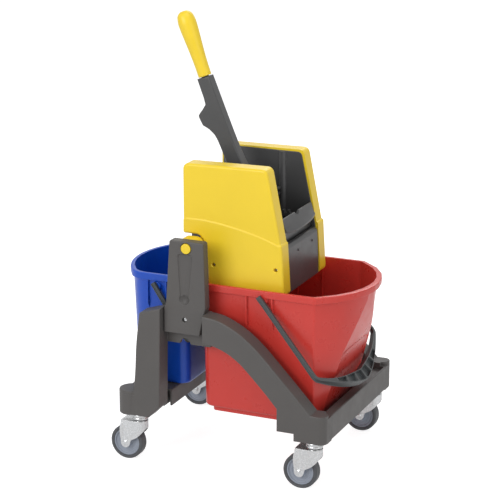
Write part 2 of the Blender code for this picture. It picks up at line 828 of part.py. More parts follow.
def jaw():
    """Moving jaw: the front squeezing plate under a visor that bulges forwards, on two toothed rails."""
    half = LINER_INNER - 0.0015
    visor = []
    for k in range(9):
        y = half * (k - 4) / 4
        bulge = 0.0080 * (1 - (y / half) ** 2)
        section = [
            (0.1160, 0.5350),
            (0.1160, 0.5600),
            (0.1175, 0.5722),
            (0.1205, 0.5722),
            (0.1260 + 0.4 * bulge, 0.5560),
            (0.1302 + bulge, 0.5420),
            (0.1290 + bulge, 0.5382),
            (0.1235 + 0.4 * bulge, 0.5520),
            (0.1195, 0.5600),
            (0.1192, 0.5350),
        ]
        visor.append([(x, y, z) for x, z in section])
    body = lofted(visor)
    joined(body, box((0.1160, -half, 0.4185), (0.1192, half, 0.5400)))
    notch = [(0.009, 0.580), (0.009, 0.5685), (0.003, 0.5655), (-0.006, 0.5655), (-0.014, 0.580)]
    cut(body, prism(notch, 0.10, 0.126, "X"))
    for k in range(5):
        y = 0.022 * (k - 2)
        joined(body, box((0.1125, y - 0.003, 0.426), (0.1165, y + 0.003, 0.556)))
    part("press_jaw", body, "press_grey", (0.118, 0.0, 0.551))


def jaw_rack(side, label):
    module = 2 * PITCH_RADIUS / TEETH_ROUND
    pitch = math.pi * module
    line = SHAFT[1] - PITCH_RADIUS
    root = line - 1.05 * module
    tip = line + 0.70 * module
    points = [(0.1157, RACK_BASE), (0.1157, root)]
    for k in range(5, -4, -1):
        middle = SHAFT[0] + (k + 0.5) * pitch
        if middle < RACK_TAIL + root - line + 0.008:
            continue
        for spread, z in ((0.33, root), (0.12, tip), (-0.12, tip), (-0.33, root)):
            points.append((middle + spread * pitch, z))
    points += [(RACK_TAIL, root), (RACK_TAIL, RACK_BASE)]
    body = prism(points, *span(side, *RACK_SIDES))
    return part("jaw_rack_" + label, body, "press_grey", (0.118, 0.0, 0.551))


def lever():
    axis = (SHAFT[0], 0.0, SHAFT[1])
    half = 0.014
    rear = [
        (-0.1170, 0.8515),
        (-0.1020, 0.8120),
        (-0.0975, 0.7960),
        (-0.1130, 0.7720),
        (-0.1130, 0.7650),
        (-0.1040, 0.7480),
        (-0.0880, 0.7400),
        (-0.0740, 0.7270),
        (-0.0620, 0.7050),
        (-0.0460, 0.6670),
        (-0.0210, 0.6050),
    ]
    front = [
        (0.0310, 0.6050),
        (0.0220, 0.6350),
        (-0.0020, 0.6640),
        (-0.0300, 0.7200),
        (-0.0885, 0.8615),
    ]
    hub = arc(SHAFT, 0.026, 200, 340, 6)
    body = bevelled(prism(rear + hub + front, -half, half), 0.0035)
    hub_wide = rod(0.0220, -0.020, 0.020, axis, steps=20)
    joined(body, hub_wide)
    cut(body, rod(SHAFT_RADIUS + GAP, -0.03, 0.03, axis, steps=20))
    lean = Vector((-math.sin(GRIP_LEAN), 0.0, math.cos(GRIP_LEAN)))
    base = Vector((GRIP_BASE[0], 0.0, GRIP_BASE[1]))
    turn = lean.to_track_quat("Z", "Y").to_matrix().to_4x4()

    def along_grip(piece, offset):
        piece.data.transform(Matrix.Translation(base + lean * offset) @ turn)
        return piece

    tang = along_grip(rod(0.0085, 0.0, 0.060, (0, 0, 0), "Z", 12), -0.010)
    joined(body, tang)
    part("lever_arm", body, "press_grey", axis)
    profile = [
        (0.0, 0.0),
        (0.0140, 0.0),
        (0.0150, 0.0015),
        (0.0155, 0.030),
        (0.0170, 0.060),
        (0.0192, 0.092),
        (0.0205, 0.118),
        (0.0195, 0.132),
        (0.0160, 0.143),
        (0.0090, 0.149),
        (0.0, 0.151),
    ]
    grip = along_grip(turned(profile, (0, 0, 0), "Z", 20), 0.0015)
    cut(grip, along_grip(rod(0.0085 + GAP, 0.0, 0.055, (0, 0, 0), "Z", 12), -0.003))
    part("lever_grip", grip, "press_yellow", axis)
    body = rod(SHAFT_RADIUS, -LINER_OUTER + 0.001, LINER_OUTER - 0.001, axis, steps=20)
    part("lever_shaft", body, "zinc", axis)


for side, label in ((-1, "right"), (1, "left")):
    side_frame(side, label)
    post(side, label)
    post_bolt(side, label)
    shell(side, label)
    liner(side, label)
    trunnion(side, label)
    toothed_sector(side, label)
    jaw_rack(side, label)
    for index in (0, 1):
        shell_screw(index, side, label)
    for end, name in ((1, "front_"), (-1, "rear_")):
        caster(end, side, name + label)
crossbars()
press_walls()
jaw()
lever()

# Front bucket
RED_PIVOT = (0.1038, 0.4053)
RED_HALF = 0.149
red = bucket("bucket_red", -0.0475, 0.2215, 0.301, RED_HALF, 0.134, 0.110, 0.043, True)
foot = box((-0.031, -0.128, 0.122), (0.152, 0.128, 0.1345))
joined(red, cut(foot, box((-0.027, -0.124, 0.10), (0.148, 0.124, 0.1335))))
for side in (-1, 1):
    bucket_ear(red, RED_PIVOT, RED_HALF, side, (0.067, 0.127))
    low, high = span(side, 0.138, 0.160)
    joined(red, box((-0.042, low, 0.3045), (-0.020, high, 0.314)))
part("bucket_red", red, "bucket_red")
RED_INNER = RED_HALF + LIP_OUT + 0.0010
GRIP = (0.0205, 0.0165)
bail("bail_red", RED_PIVOT, math.radians(48.4), 0.012, 0.206, 0.0691, RED_INNER, 0.0195, 1.45, GRIP)

# Rear bucket
BLUE_PIVOT = (-0.165, 0.398)
BLUE_HALF = 0.127
blue = bucket("bucket_blue", -0.094, -0.214, -0.267, BLUE_HALF, 0.168, 0.045, 0.0, False)
for side in (-1, 1):
    bucket_ear(blue, BLUE_PIVOT, BLUE_HALF, side, (-0.188, -0.142))
part("bucket_blue", blue, "bucket_blue")
BLUE_INNER = BLUE_HALF + LIP_OUT + 0.0008
SLIM = (0.0060, 0.0060)
bail("bail_blue", BLUE_PIVOT, math.radians(56.0), 0.011, 0.137, 0.011, BLUE_INNER, 0.0, 8.0, SLIM)
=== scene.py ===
"""A twin-bucket mop trolley with a lever press wringer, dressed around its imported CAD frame.

Shapes are drawn in metres about the middle of the wheelbase, with +X to the front and Z up from the
floor, and are then moved onto the frame by the place of the wheel joints.
"""

import json
import math

import bmesh
import bpy
from mathutils import Matrix, Vector


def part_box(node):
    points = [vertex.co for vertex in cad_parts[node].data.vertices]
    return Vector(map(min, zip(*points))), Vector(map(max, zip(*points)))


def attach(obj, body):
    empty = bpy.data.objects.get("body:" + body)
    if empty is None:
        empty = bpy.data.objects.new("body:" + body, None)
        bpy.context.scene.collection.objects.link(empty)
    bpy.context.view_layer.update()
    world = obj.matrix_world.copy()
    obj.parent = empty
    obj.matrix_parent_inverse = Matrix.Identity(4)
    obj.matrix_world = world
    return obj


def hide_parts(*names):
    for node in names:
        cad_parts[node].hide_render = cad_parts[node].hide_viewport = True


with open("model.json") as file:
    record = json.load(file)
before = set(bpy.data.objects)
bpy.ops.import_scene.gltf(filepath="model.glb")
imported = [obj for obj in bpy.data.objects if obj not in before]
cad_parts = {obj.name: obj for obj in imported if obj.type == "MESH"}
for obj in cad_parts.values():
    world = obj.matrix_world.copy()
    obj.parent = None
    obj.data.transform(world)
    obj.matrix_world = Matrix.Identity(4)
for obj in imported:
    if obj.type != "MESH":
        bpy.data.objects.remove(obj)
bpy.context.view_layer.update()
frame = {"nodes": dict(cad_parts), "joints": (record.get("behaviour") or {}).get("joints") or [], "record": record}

JOINTS = {joint["name"]: joint for joint in frame["joints"]}
BODY_OF = {}
for body_name, members in frame["record"]["behaviour"]["bodies"].items():
    for member in members:
        BODY_OF[member] = body_name


def joint_at(name):
    return Vector(JOINTS[name]["pos_m"])


# Places and sizes read from the frame
SHIFT = Vector(((joint_at("roll_front_right").x + joint_at("roll_rear_right").x) / 2, 0.0, 0.0))
TRUNNION = joint_at("press_tilt") - SHIFT
SHAFT = joint_at("lever_swing") - SHIFT
RED_PIVOT = joint_at("red_bail_swing") - SHIFT
BLUE_PIVOT = joint_at("blue_bail_swing") - SHIFT
POST_INNER, POST_OUTER = (corner.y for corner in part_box("post_left"))
SHELL_INNER, SHELL_OUTER = (corner.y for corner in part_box("press_shell_left"))
LINER_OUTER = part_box("press_liner_left")[1].y
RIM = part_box("bucket_red")[1].z
BOSS_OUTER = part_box("side_frame_left")[1].y
BAR_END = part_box("front_crossbar")[1].y
FRONT_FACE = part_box("front_crossbar")[1].x - SHIFT.x
FRAME_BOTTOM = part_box("side_frame_left")[0].z
WHEEL_RADIUS = joint_at("roll_front_right").z

HALF_WIDTH = BOSS_OUTER - 0.0025
BEAM_INNER = BAR_END + 0.0003
LINER_INNER = 0.085
GAP = 0.0003


# ---- mesh helpers
def placed(name, data):
    """A new object in the scene for this data."""
    made = bpy.data.objects.new(name, data)
    bpy.context.scene.collection.objects.link(made)
    return made


def object_of(bm):
    """A scene object holding this mesh, with its normals facing out."""
    bmesh.ops.recalc_face_normals(bm, faces=bm.faces)
    mesh = bpy.data.meshes.new("piece")
    bm.to_mesh(mesh)
    bm.free()
    return placed("piece", mesh)


def lofted(rings):
    """Skin over rings of equal count, closed by a face on the first and on the last."""
    bm = bmesh.new()
    rows = [[bm.verts.new(point) for point in ring] for ring in rings]
    bm.faces.new(rows[0])
    bm.faces.new(rows[-1][::-1])
    count = len(rings[0])
    for below, above in zip(rows, rows[1:]):
        for i in range(count):
            j = (i + 1) % count
            bm.faces.new((below[i], above[i], above[j], below[j]))
    return object_of(bm)


def prism(outline, low, high, across="Y"):
    """A flat outline pushed along one axis. The outline's pairs are the two other axes in order."""
    rings = []
    for level in (low, high):
        if across == "X":
            rings.append([(level, a, b) for a, b in outline])
        elif across == "Y":
            rings.append([(a, level, b) for a, b in outline])
        else:
            rings.append([(a, b, level) for a, b in outline])
    return lofted(rings)


def box(low, high):
    """A box between two corners."""
    outline = [(low[0], low[1]), (high[0], low[1]), (high[0], high[1]), (low[0], high[1])]
    return prism(outline, low[2], high[2], "Z")


def turned(profile, centre, axis="Y", steps=48, closed=False):
    """A solid of revolution from (radius, along) pairs. A closed profile makes a ring."""
    bm = bmesh.new()
    rows = []
    for radius, along in profile:
        row = []
        for i in range(1 if radius == 0 else steps):
            angle = 2 * math.pi * i / steps
            a, b = radius * math.cos(angle), radius * math.sin(angle)
            offset = {"X": (along, a, b), "Y": (a, along, b), "Z": (a, b, along)}[axis]
            row.append(bm.verts.new(Vector(centre) + Vector(offset)))
        rows.append(row)
    pairs = list(zip(rows, rows[1:]))
    if closed:
        pairs.append((rows[-1], rows[0]))
    for first, second in pairs:
        for i in range(steps):
            j = (i + 1) % steps
            corners = [first[i % len(first)], second[i % len(second)]]
            corners += [second[j % len(second)], first[j % len(first)]]
            unique = list(dict.fromkeys(corners))
            if len(unique) > 2:
                bm.faces.new(unique)
    if not closed:
        for row in (rows[0], rows[-1]):
            if len(row) > 1:
                bm.faces.new(row)
    return object_of(bm)


def rod(radius, low, high, centre, axis="Y", steps=32):
    """A plain cylinder between two positions along its axis."""
    return turned([(radius, low), (radius, high)], centre, axis, steps)


def sided(profile, side, place, steps=48, closed=False):
    """A solid turned about Y, with its profile's distances counted from the middle plane on one side."""
    return turned([(radius, side * along) for radius, along in profile], place, "Y", steps, closed)


def combined(body, tool, operation):
    """The body after one Boolean with the tool, which is then removed."""
    modifier = body.modifiers.new("Boolean", "BOOLEAN")
    modifier.operation = operation
    modifier.solver = "EXACT"
    modifier.object = tool
    bpy.context.view_layer.update()
    graph = bpy.context.evaluated_depsgraph_get()
    result = bpy.data.meshes.new_from_object(body.evaluated_get(graph))
    body.modifiers.clear()
    body.data = result
    bpy.data.objects.remove(tool)
    return body


def joined(body, *tools):
    for tool in tools:
        combined(body, tool, "UNION")
    return body


def cut(body, *tools):
    for tool in tools:
        combined(body, tool, "DIFFERENCE")
    return body


def shared(body, tool):
    return combined(body, tool, "INTERSECT")


def moved(body, offset, turn=None):
    """The body with its mesh turned and then carried by the offset."""
    matrix = Matrix.Translation(Vector(offset))
    if turn is not None:
        matrix = matrix @ turn.to_4x4()
    body.data.transform(matrix)
    return body


def copied(body):
    return placed("piece", body.data.copy())


def span(side, inner, outer):
    """The low and high Y of a stretch between two distances from the middle plane, on one side."""
    return sorted((side * inner, side * outer))


def slab(side, across, along, height):
    """A box from its stretches in X, in distance from the middle plane on one side, and in Z."""
    low, high = span(side, *along)
    return box((across[0], low, height[0]), (across[1], high, height[1]))


def mm(*pairs):
    """The pairs, which are written in millimetres, in metres."""
    return [tuple(round(number / 1000, 7) for number in pair) for pair in pairs]


def beyond(level, *pairs):
    """A profile in millimetres, whose second numbers count from a level."""
    return [(a, level + b) for a, b in mm(*pairs)]


def both_ways(half):
    """A profile that mirrors this half, whose pairs run from the middle outwards."""
    return [(radius, -along) for radius, along in reversed(half)] + half


def arc(centre, radius, start, end, steps):
    """Points on an arc, with its angles in degrees."""
    points = []
    for i in range(steps + 1):
        angle = math.radians(start + (end - start) * i / steps)
        points.append((centre[0] + radius * math.cos(angle), centre[1] + radius * math.sin(angle)))
    return points


def smooth(points, steps=5):
    """A curve that passes through all the points."""
    points = [Vector(p) for p in points]
    line = [2 * points[0] - points[1]] + points + [2 * points[-1] - points[-2]]
    result = []
    for a, b, c, d in zip(line, line[1:], line[2:], line[3:]):
        for k in range(steps):
            t = k / steps
            p = 2 * b + (c - a) * t + (2 * a - 5 * b + 4 * c - d) * t * t
            p += (3 * b - a - 3 * c + d) * t * t * t
            result.append(tuple(p / 2))
    return result + [tuple(points[-1])]


def rounded(outline, radii, steps=8):
    """The outline with an arc of the radius given for each corner, or left sharp under 1 mm."""
    points = []
    count = len(outline)
    for i in range(count):
        corner = Vector(outline[i])
        radius = radii if isinstance(radii, float) else radii[i]
        if radius <= 0.001:
            points.append(tuple(corner))
            continue
        back = (Vector(outline[i - 1]) - corner).normalized()
        on = (Vector(outline[(i + 1) % count]) - corner).normalized()
        half = back.angle(on) / 2
        middle = corner + (back + on).normalized() * radius / math.sin(half)
        first = corner + back * radius / math.tan(half) - middle
        last = corner + on * radius / math.tan(half) - middle
        sweep = first.angle_signed(last)
        for k in range(steps + 1):
            angle = -sweep * k / steps
            c, s = math.cos(angle), math.sin(angle)
            spoke = Vector((first.x * c - first.y * s, first.x * s + first.y * c))
            points.append(tuple(middle + spoke))
    return points


def inset(outline, distance):
    """The outline moved inwards by a distance."""
    edges = list(zip(outline, outline[1:] + outline[:1]))
    area = sum(x0 * y1 - x1 * y0 for (x0, y0), (x1, y1) in edges)
    sign = 1.0 if area > 0 else -1.0
    lines = []
    for start, end in edges:
        along = (Vector(end) - Vector(start)).normalized()
        lines.append((Vector(start) + Vector((-along.y, along.x)) * distance * sign, along))
    points = []
    for (p, u), (q, v) in zip(lines[-1:] + lines, lines):
        cross = u.x * v.y - u.y * v.x
        if abs(cross) < 1e-6:
            points.append(tuple(q))
            continue
        gap = q - p
        points.append(tuple(p + u * ((gap.x * v.y - gap.y * v.x) / cross)))
    return points


def soft_plate(outline, radii, back, face, edge, steps=4, back_edge=0.0):
    """A plate along Y whose edges round over towards its face, and its back where back_edge is given.

    Radii below zero mark inner corners.
    """
    way = 1.0 if face > back else -1.0
    quarter = [math.radians(90 * k / steps) for k in range(steps + 1)]
    stages = [(back, 0.0)]
    if back_edge:
        stages = []
        for a in quarter:
            stages.append((back + way * (back_edge * (1 - math.cos(a))), back_edge * (1 - math.sin(a))))
    stages += [(face - way * edge * (1 - math.sin(a)), edge * (1 - math.cos(a))) for a in quarter]
    rings = []
    for y, depth in stages:
        sizes = []
        for radius in radii:
            if radius < 0:
                sizes.append(depth - radius)
            else:
                sizes.append(max(radius - depth, 0.0015) if radius > 0.001 else 0.0)
        rings.append([(x, y, z) for x, z in rounded(inset(outline, depth), sizes)])
    return lofted(rings)


CREASE_ANGLE = math.radians(34)
BEVEL_ANGLE = math.radians(40)


def dress(body, node, finish, bevel=0.0):
    """Lets the body stand for its CAD node: its name, finish, shading and the body it rides on."""
    body.name = "look_" + node
    body.data.name = body.name
    bm = bmesh.new()
    bm.from_mesh(body.data)
    bmesh.ops.remove_doubles(bm, verts=bm.verts, dist=0.000002)
    bmesh.ops.recalc_face_normals(bm, faces=bm.faces)
    for edge in bm.edges:
        edge.smooth = len(edge.link_faces) == 2 and edge.calc_face_angle() < CREASE_ANGLE
    for face in bm.faces:
        face.smooth = True
        face.material_index = 0
    bm.to_mesh(body.data)
    bm.free()
    body.data.transform(Matrix.Translation(SHIFT))
    body.data.materials.clear()
    body.data.materials.append(material(finish))
    if bevel:
        modifier = body.modifiers.new("Bevel", "BEVEL")
        modifier.width = bevel
        modifier.segments = 2
        modifier.limit_method = "ANGLE"
        modifier.angle_limit = BEVEL_ANGLE
    modifier = body.modifiers.new("Normals", "WEIGHTED_NORMAL")
    modifier.keep_sharp = True
    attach(body, BODY_OF[node])
    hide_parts(node)
    return body


# ---- finishes
def socket(shader, name, value):
    shader.inputs[name].default_value = value


class Tree:
    """Short names for the nodes that every finish is made of."""

    def __init__(self, name):
        self.material = bpy.data.materials.new(name)
        self.material.use_nodes = True
        self.tree = self.material.node_tree
        self.shader = self.tree.nodes["Principled BSDF"]
        self.place = self.add("ShaderNodeTexCoord").outputs["Object"]

    def add(self, kind, **settings):
        node = self.tree.nodes.new(kind)
        for key, value in settings.items():
            setattr(node, key, value)
        return node

    def link(self, source, target):
        self.tree.links.new(source, target)

    def noise(self, scale, detail=3.0, rough=0.5, stretch=None, distortion=0.0):
        """Noise in object space, with the scale in features per metre."""
        node = self.add("ShaderNodeTexNoise")
        levels = {"Scale": scale, "Detail": detail, "Roughness": rough, "Distortion": distortion}
        for key, value in levels.items():
            socket(node, key, value)
        source = self.place
        if stretch:
            mapping = self.add("ShaderNodeMapping")
            socket(mapping, "Scale", stretch)
            self.link(source, mapping.inputs["Vector"])
            source = mapping.outputs["Vector"]
        self.link(source, node.inputs["Vector"])
        return node.outputs["Fac"]

    def spread(self, value, low, high, to_low=0.0, to_high=1.0):
        node = self.add("ShaderNodeMapRange")
        for index, number in enumerate((low, high, to_low, to_high)):
            node.inputs[index + 1].default_value = number
        self.link(value, node.inputs["Value"])
        return node.outputs["Result"]

    def maths(self, operation, first, second=None):
        node = self.add("ShaderNodeMath", operation=operation)
        for value, target in ((first, node.inputs[0]), (second, node.inputs[1])):
            if isinstance(value, (int, float)):
                target.default_value = value
            elif value is not None:
                self.link(value, target)
        return node.outputs["Value"]

    def blend(self, factor, first, second):
        """A colour mix; each colour is a socket or a tuple."""
        node = self.add("ShaderNodeMix", data_type="RGBA")
        self.link(factor, node.inputs[0])
        for value, index in ((first, 6), (second, 7)):
            if isinstance(value, tuple):
                node.inputs[index].default_value = value
            else:
                self.link(value, node.inputs[index])
        return node.outputs[2]

    def worn_and_highlit_edges(self, radius):
        """(normal, mask) with edges softened over the radius; the mask is white along them, for edges lightened
        partly as rubbing and partly as a painted highlight.
        """
        bevel = self.add("ShaderNodeBevel", samples=6)
        socket(bevel, "Radius", radius)
        geometry = self.add("ShaderNodeNewGeometry")
        dot = self.add("ShaderNodeVectorMath", operation="DOT_PRODUCT")
        self.link(bevel.outputs["Normal"], dot.inputs[0])
        self.link(geometry.outputs["Normal"], dot.inputs[1])
        return bevel.outputs["Normal"], self.spread(dot.outputs["Value"], 0.995, 0.9)

    def bump(self, layers, normal):
        """Bumps laid over each other, each a height, a strength and a distance."""
        for height, strength, distance in layers:
            node = self.add("ShaderNodeBump")
            socket(node, "Strength", strength)
            socket(node, "Distance", distance)
            self.link(height, node.inputs["Height"])
            self.link(normal, node.inputs["Normal"])
            normal = node.outputs["Normal"]
        self.link(normal, self.shader.inputs["Normal"])


def shade(colour, factor):
    return tuple(min(1.0, channel * factor) for channel in colour[:3]) + (1.0,)


def plastic(name, colour, rough, grain, vary, wear_and_highlight):
    """Moulded plastic: clouded colour, flow streaks, a fine grained skin, scuffs, and edges lightened partly as
    rubbing and partly as a painted highlight.
    """
    t = Tree(name)
    cloud = t.noise(11, 4.0, 0.6)
    colour_now = t.blend(cloud, shade(colour, 1 - vary), shade(colour, 1 + vary))
    streak = t.spread(t.noise(26, 3.0, 0.55, (1.0, 1.0, 0.18), 0.6), 0.35, 0.75, 0.0, 0.175)
    colour_now = t.blend(streak, colour_now, shade(colour, 1 - 1.4 * vary))
    speck = t.spread(t.noise(900, 1.0), 0.62, 0.72, 0.0, 0.16)
    colour_now = t.blend(speck, colour_now, shade(colour, 0.72))
    normal, edges = t.worn_and_highlit_edges(0.0012)
    # Edges are lightened and made a little smoother, partly as rubbed wear and partly as a painted highlight along
    # them
    rub_and_highlight = t.maths("MULTIPLY", edges, t.spread(t.noise(120, 4.0, 0.65), 0.38, 0.62, 0.25, 0.8))
    colour_now = t.blend(rub_and_highlight, colour_now, shade(colour, wear_and_highlight))
    t.link(colour_now, t.shader.inputs["Base Color"])
    scuff = t.spread(t.noise(70, 5.0, 0.7, (0.35, 1.0, 2.6), 0.4), 0.6, 0.74, 0.0, 0.05)
    patch = t.spread(t.noise(30, 4.0, 0.6), 0.3, 0.7, rough - 0.05, rough + 0.06)
    rough_now = t.maths("ADD", patch, scuff)
    rough_now = t.maths("SUBTRACT", rough_now, t.maths("MULTIPLY", rub_and_highlight, 0.08))
    t.link(rough_now, t.shader.inputs["Roughness"])
    t.bump(
        [
            (t.noise(38, 2.0), 0.1, 0.0006),
            (t.noise(grain, 2.0, 0.6), 0.22, 0.0001),
            (t.noise(160, 3.0, 0.6), 0.1, 0.00014),
        ],
        normal,
    )
    socket(t.shader, "Specular IOR Level", 0.45)
    return t.material


def zinc(name, colour):
    """Bright zinc plate: faint crystal patches, fine drawing lines and a few dull spots."""
    t = Tree(name)
    cells = t.add("ShaderNodeTexVoronoi")
    socket(cells, "Scale", 260)
    t.link(t.place, cells.inputs["Vector"])
    patch = t.spread(cells.outputs["Distance"], 0.0, 0.7)
    colour_now = t.blend(patch, shade(colour, 1.08), shade(colour, 0.88))
    dull = t.spread(t.noise(45, 5.0, 0.65), 0.5, 0.75, 0.0, 0.55)
    colour_now = t.blend(dull, colour_now, (0.47, 0.47, 0.46, 1.0))
    normal, edges = t.worn_and_highlit_edges(0.0007)
    # Painted highlight: the edges are lightened towards a bright zinc colour, partly standing for rubbed plating
    colour_now = t.blend(t.maths("MULTIPLY", edges, 0.5), colour_now, (0.85, 0.84, 0.82, 1.0))
    t.link(colour_now, t.shader.inputs["Base Color"])
    lines = t.noise(300, 2.0, 0.5, (1.0, 1.0, 9.0))
    rough_now = t.maths("ADD", t.spread(lines, 0.3, 0.7, 0.2, 0.32), t.maths("MULTIPLY", dull, 0.22))
    t.link(rough_now, t.shader.inputs["Roughness"])
    t.bump([(lines, 0.1, 0.00005), (t.noise(90, 3.0), 0.12, 0.0002)], normal)
    socket(t.shader, "Metallic", 1.0)
    return t.material


def rubber(name, colour):
    """Smooth grey tread: faint bands round the wheel's width, dusty patches and fine pits."""
    t = Tree(name)
    dust = t.spread(t.noise(55, 5.0, 0.7), 0.45, 0.75, 0.0, 0.5)
    colour_now = t.blend(dust, shade(colour, 0.9), shade(colour, 1.7))
    bands = t.noise(240, 2.0, 0.5, (0.1, 1.0, 0.1))
    colour_now = t.blend(t.spread(bands, 0.4, 0.7, 0.0, 0.3), colour_now, shade(colour, 0.7))
    normal, edges = t.worn_and_highlit_edges(0.0012)
    # Painted highlight: the edges are lightened, partly standing for rubbed wear
    colour_now = t.blend(t.maths("MULTIPLY", edges, 0.35), colour_now, shade(colour, 2.0))
    t.link(colour_now, t.shader.inputs["Base Color"])
    t.link(t.spread(t.noise(80, 4.0), 0.3, 0.7, 0.42, 0.6), t.shader.inputs["Roughness"])
    t.bump([(t.noise(1500, 2.0), 0.25, 0.0001), (t.noise(200, 3.0), 0.15, 0.0002)], normal)
    return t.material


# Each plastic's colour, roughness, grain, clouding and brightness of its edges, partly rubbed wear and partly a
# painted highlight
PLASTICS = {
    "frame_grey": ((0.083, 0.078, 0.075), 0.5, 1500, 0.08, 1.8),
    "bucket_red": ((0.6, 0.042, 0.032), 0.3, 1200, 0.07, 1.25),
    "bucket_blue": ((0.003, 0.07, 0.5), 0.34, 1200, 0.09, 1.4),
    "press_yellow": ((0.85, 0.61, 0.026), 0.36, 1300, 0.05, 1.15),
    "press_grey": ((0.062, 0.062, 0.063), 0.34, 1400, 0.1, 2.0),
    "bail_grey": ((0.055, 0.063, 0.065), 0.4, 1500, 0.1, 2.4),
    "wheel_grey": ((0.29, 0.32, 0.38), 0.36, 1500, 0.06, 1.35),
}


def material(name):
    """The named finish, made once."""
    full = "finish_" + name
    if full in bpy.data.materials:
        return bpy.data.materials[full]
    if name == "zinc":
        return zinc(full, (0.6, 0.61, 0.62))
    if name == "tyre_grey":
        return rubber(full, (0.07, 0.073, 0.08))
    return plastic(full, *PLASTICS[name])


# ---- chassis
BEAM_TOP = mm((-16, 370), (21, 365), (57, 350), (87, 332), (117, 307), (148, 276), (196, 226), (241, 178))
BEAM_UNDER = mm((162, 182), (133, 214), (102, 246), (72, 274), (42, 293), (11, 304), (-16, 306))
CORNER_RADIUS = 0.017
CORNER_TOP = 0.178
BLOCK_TOP = 0.1695
CORNER = (FRONT_FACE - CORNER_RADIUS, HALF_WIDTH - CORNER_RADIUS)
REAR_BOSS = (-0.203, 0.186)
REAR_BOSS_RADIUS = 0.029
LEG = mm((-199, 113), (-150, 113), (-122, 141), (-117.5, 374), (-169, 358), (-178, 285), (-184, 197))
NOTCH = (-0.075, 0.287)
WALL = 0.004


def side_frame(side, label):
    """Rear leg, post socket and arched beam in one moulding, ribbed on the face towards the buckets."""
    inner, outer = side * BEAM_INNER, side * HALF_WIDTH

    def across(outline, low, high):
        return prism(outline, *span(side, low, high))

    top, under = smooth(BEAM_TOP), smooth(BEAM_UNDER)
    beam = top + [(CORNER[0] + 0.003, CORNER_TOP), (CORNER[0] + 0.003, 0.113)]
    beam += mm((202, 113), (202, 130), (162, 130)) + under
    body = soft_plate(beam, [0.0] * len(beam), inner, outer, 0.003)
    leg = LEG[:4] + smooth(LEG[4:] + LEG[:1], 6)[:-1]
    leg = soft_plate(leg, [0.0] * len(leg), inner, outer, 0.003)
    web = [(-0.123, 0.375), (-0.123, 0.287), (NOTCH[0] - 0.013, 0.287)]
    web += arc(NOTCH, 0.013, 180, 0, 16)[1:]
    web += [(-0.013, 0.287), (-0.013, 0.368)]
    joined(body, across(web, 0.1625, 0.1727), leg)

    def upright(centre, radius, low, rim, soft):
        profile = [(radius - 0.001, low), (radius, low + 0.001), (radius, rim - soft)]
        profile += [(radius - soft * 0.3, rim - soft * 0.3), (radius - soft, rim)]
        return turned(profile, (centre[0], side * centre[1], 0.0), "Z")

    boss = upright(REAR_BOSS, REAR_BOSS_RADIUS, FRAME_BOTTOM, 0.17, 0.003)
    along = (CORNER[0] - 0.004, FRONT_FACE - 0.0002)
    block = slab(side, along, (BEAM_INNER, CORNER[1]), (FRAME_BOTTOM, BLOCK_TOP))
    joined(body, boss, block, upright(CORNER, CORNER_RADIUS, FRAME_BOTTOM, CORNER_TOP, 0.002))
    # A parting groove round the rear boss, and the socket's rim below each corner
    centre = (REAR_BOSS[0], side * REAR_BOSS[1], 0.0)
    groove = [(REAR_BOSS_RADIUS - 0.0008, 0.1615), (REAR_BOSS_RADIUS + 0.002, 0.1607)]
    groove += [(REAR_BOSS_RADIUS + 0.002, 0.1623)]
    cut(body, turned(groove, centre, "Z", closed=True))
    # Ribbed hollows, open towards the buckets
    upper = inset(BEAM_TOP[0:4] + BEAM_UNDER[3:], WALL)
    lower = inset(BEAM_TOP[3:6] + [(0.226, 0.194), (0.186, 0.15)] + BEAM_UNDER[0:4], WALL)
    back = mm((-175, 190), (-127, 190), (-123.5, 358), (-163, 348))
    for hollow in (upper, lower, back):
        cut(body, across(hollow, BEAM_INNER - 0.01, HALF_WIDTH - WALL))
    inwards = (BEAM_INNER + 0.001, HALF_WIDTH - WALL + 0.001)
    # Leaning ribs, each with its hollow, its place in X and Z, and its lean
    leaning = [(upper, 0.006, 0.335, 0.3), (upper, 0.034, 0.335, 0.5)]
    leaning += [(lower, 0.11, 0.2875, 0.9), (lower, 0.16, 0.24, 0.9)]
    for hollow, x, z, lean in leaning:
        rib = slab(side, (-0.0011, 0.0011), inwards, (-0.06, 0.06))
        rib = moved(rib, (x, 0.0, z), Matrix.Rotation(lean, 3, "Y"))
        joined(body, shared(rib, across(inset(hollow, -0.001), BEAM_INNER, HALF_WIDTH)))
    for z in (0.232, 0.275, 0.318):
        rib = slab(side, (-0.19, -0.11), inwards, (z, z + 0.0022))
        joined(body, shared(rib, across(inset(back, -0.001), 0.1, 0.3)))
    # Lug that the front bucket hangs on
    joined(body, slab(side, (-0.044, -0.018), (0.15, 0.164), (0.294, 0.304)))
    dress(body, "side_frame_" + label, "frame_grey")


POST = mm(
    (-116.5, 316.5), (-116.5, 372), (-111, 381), (-101, 530), (-19, 530), (-15, 381), (-17.5, 372),
    (-30, 316.5)
)
DIMPLE = (-0.066, 0.397)
POST_BOLT = (-0.066, 0.35)


def sunk(side, outline, face, depth, slope):
    """A cutter for a recess in a side face, with sloping walls."""
    rings = []
    for y, distance in ((face + 0.004, -slope - 0.004 * slope / depth), (face - depth, 0.0)):
        rings.append([(x, side * y, z) for x, z in rounded(inset(outline, distance), 0.006, 6)])
    return lofted(rings)


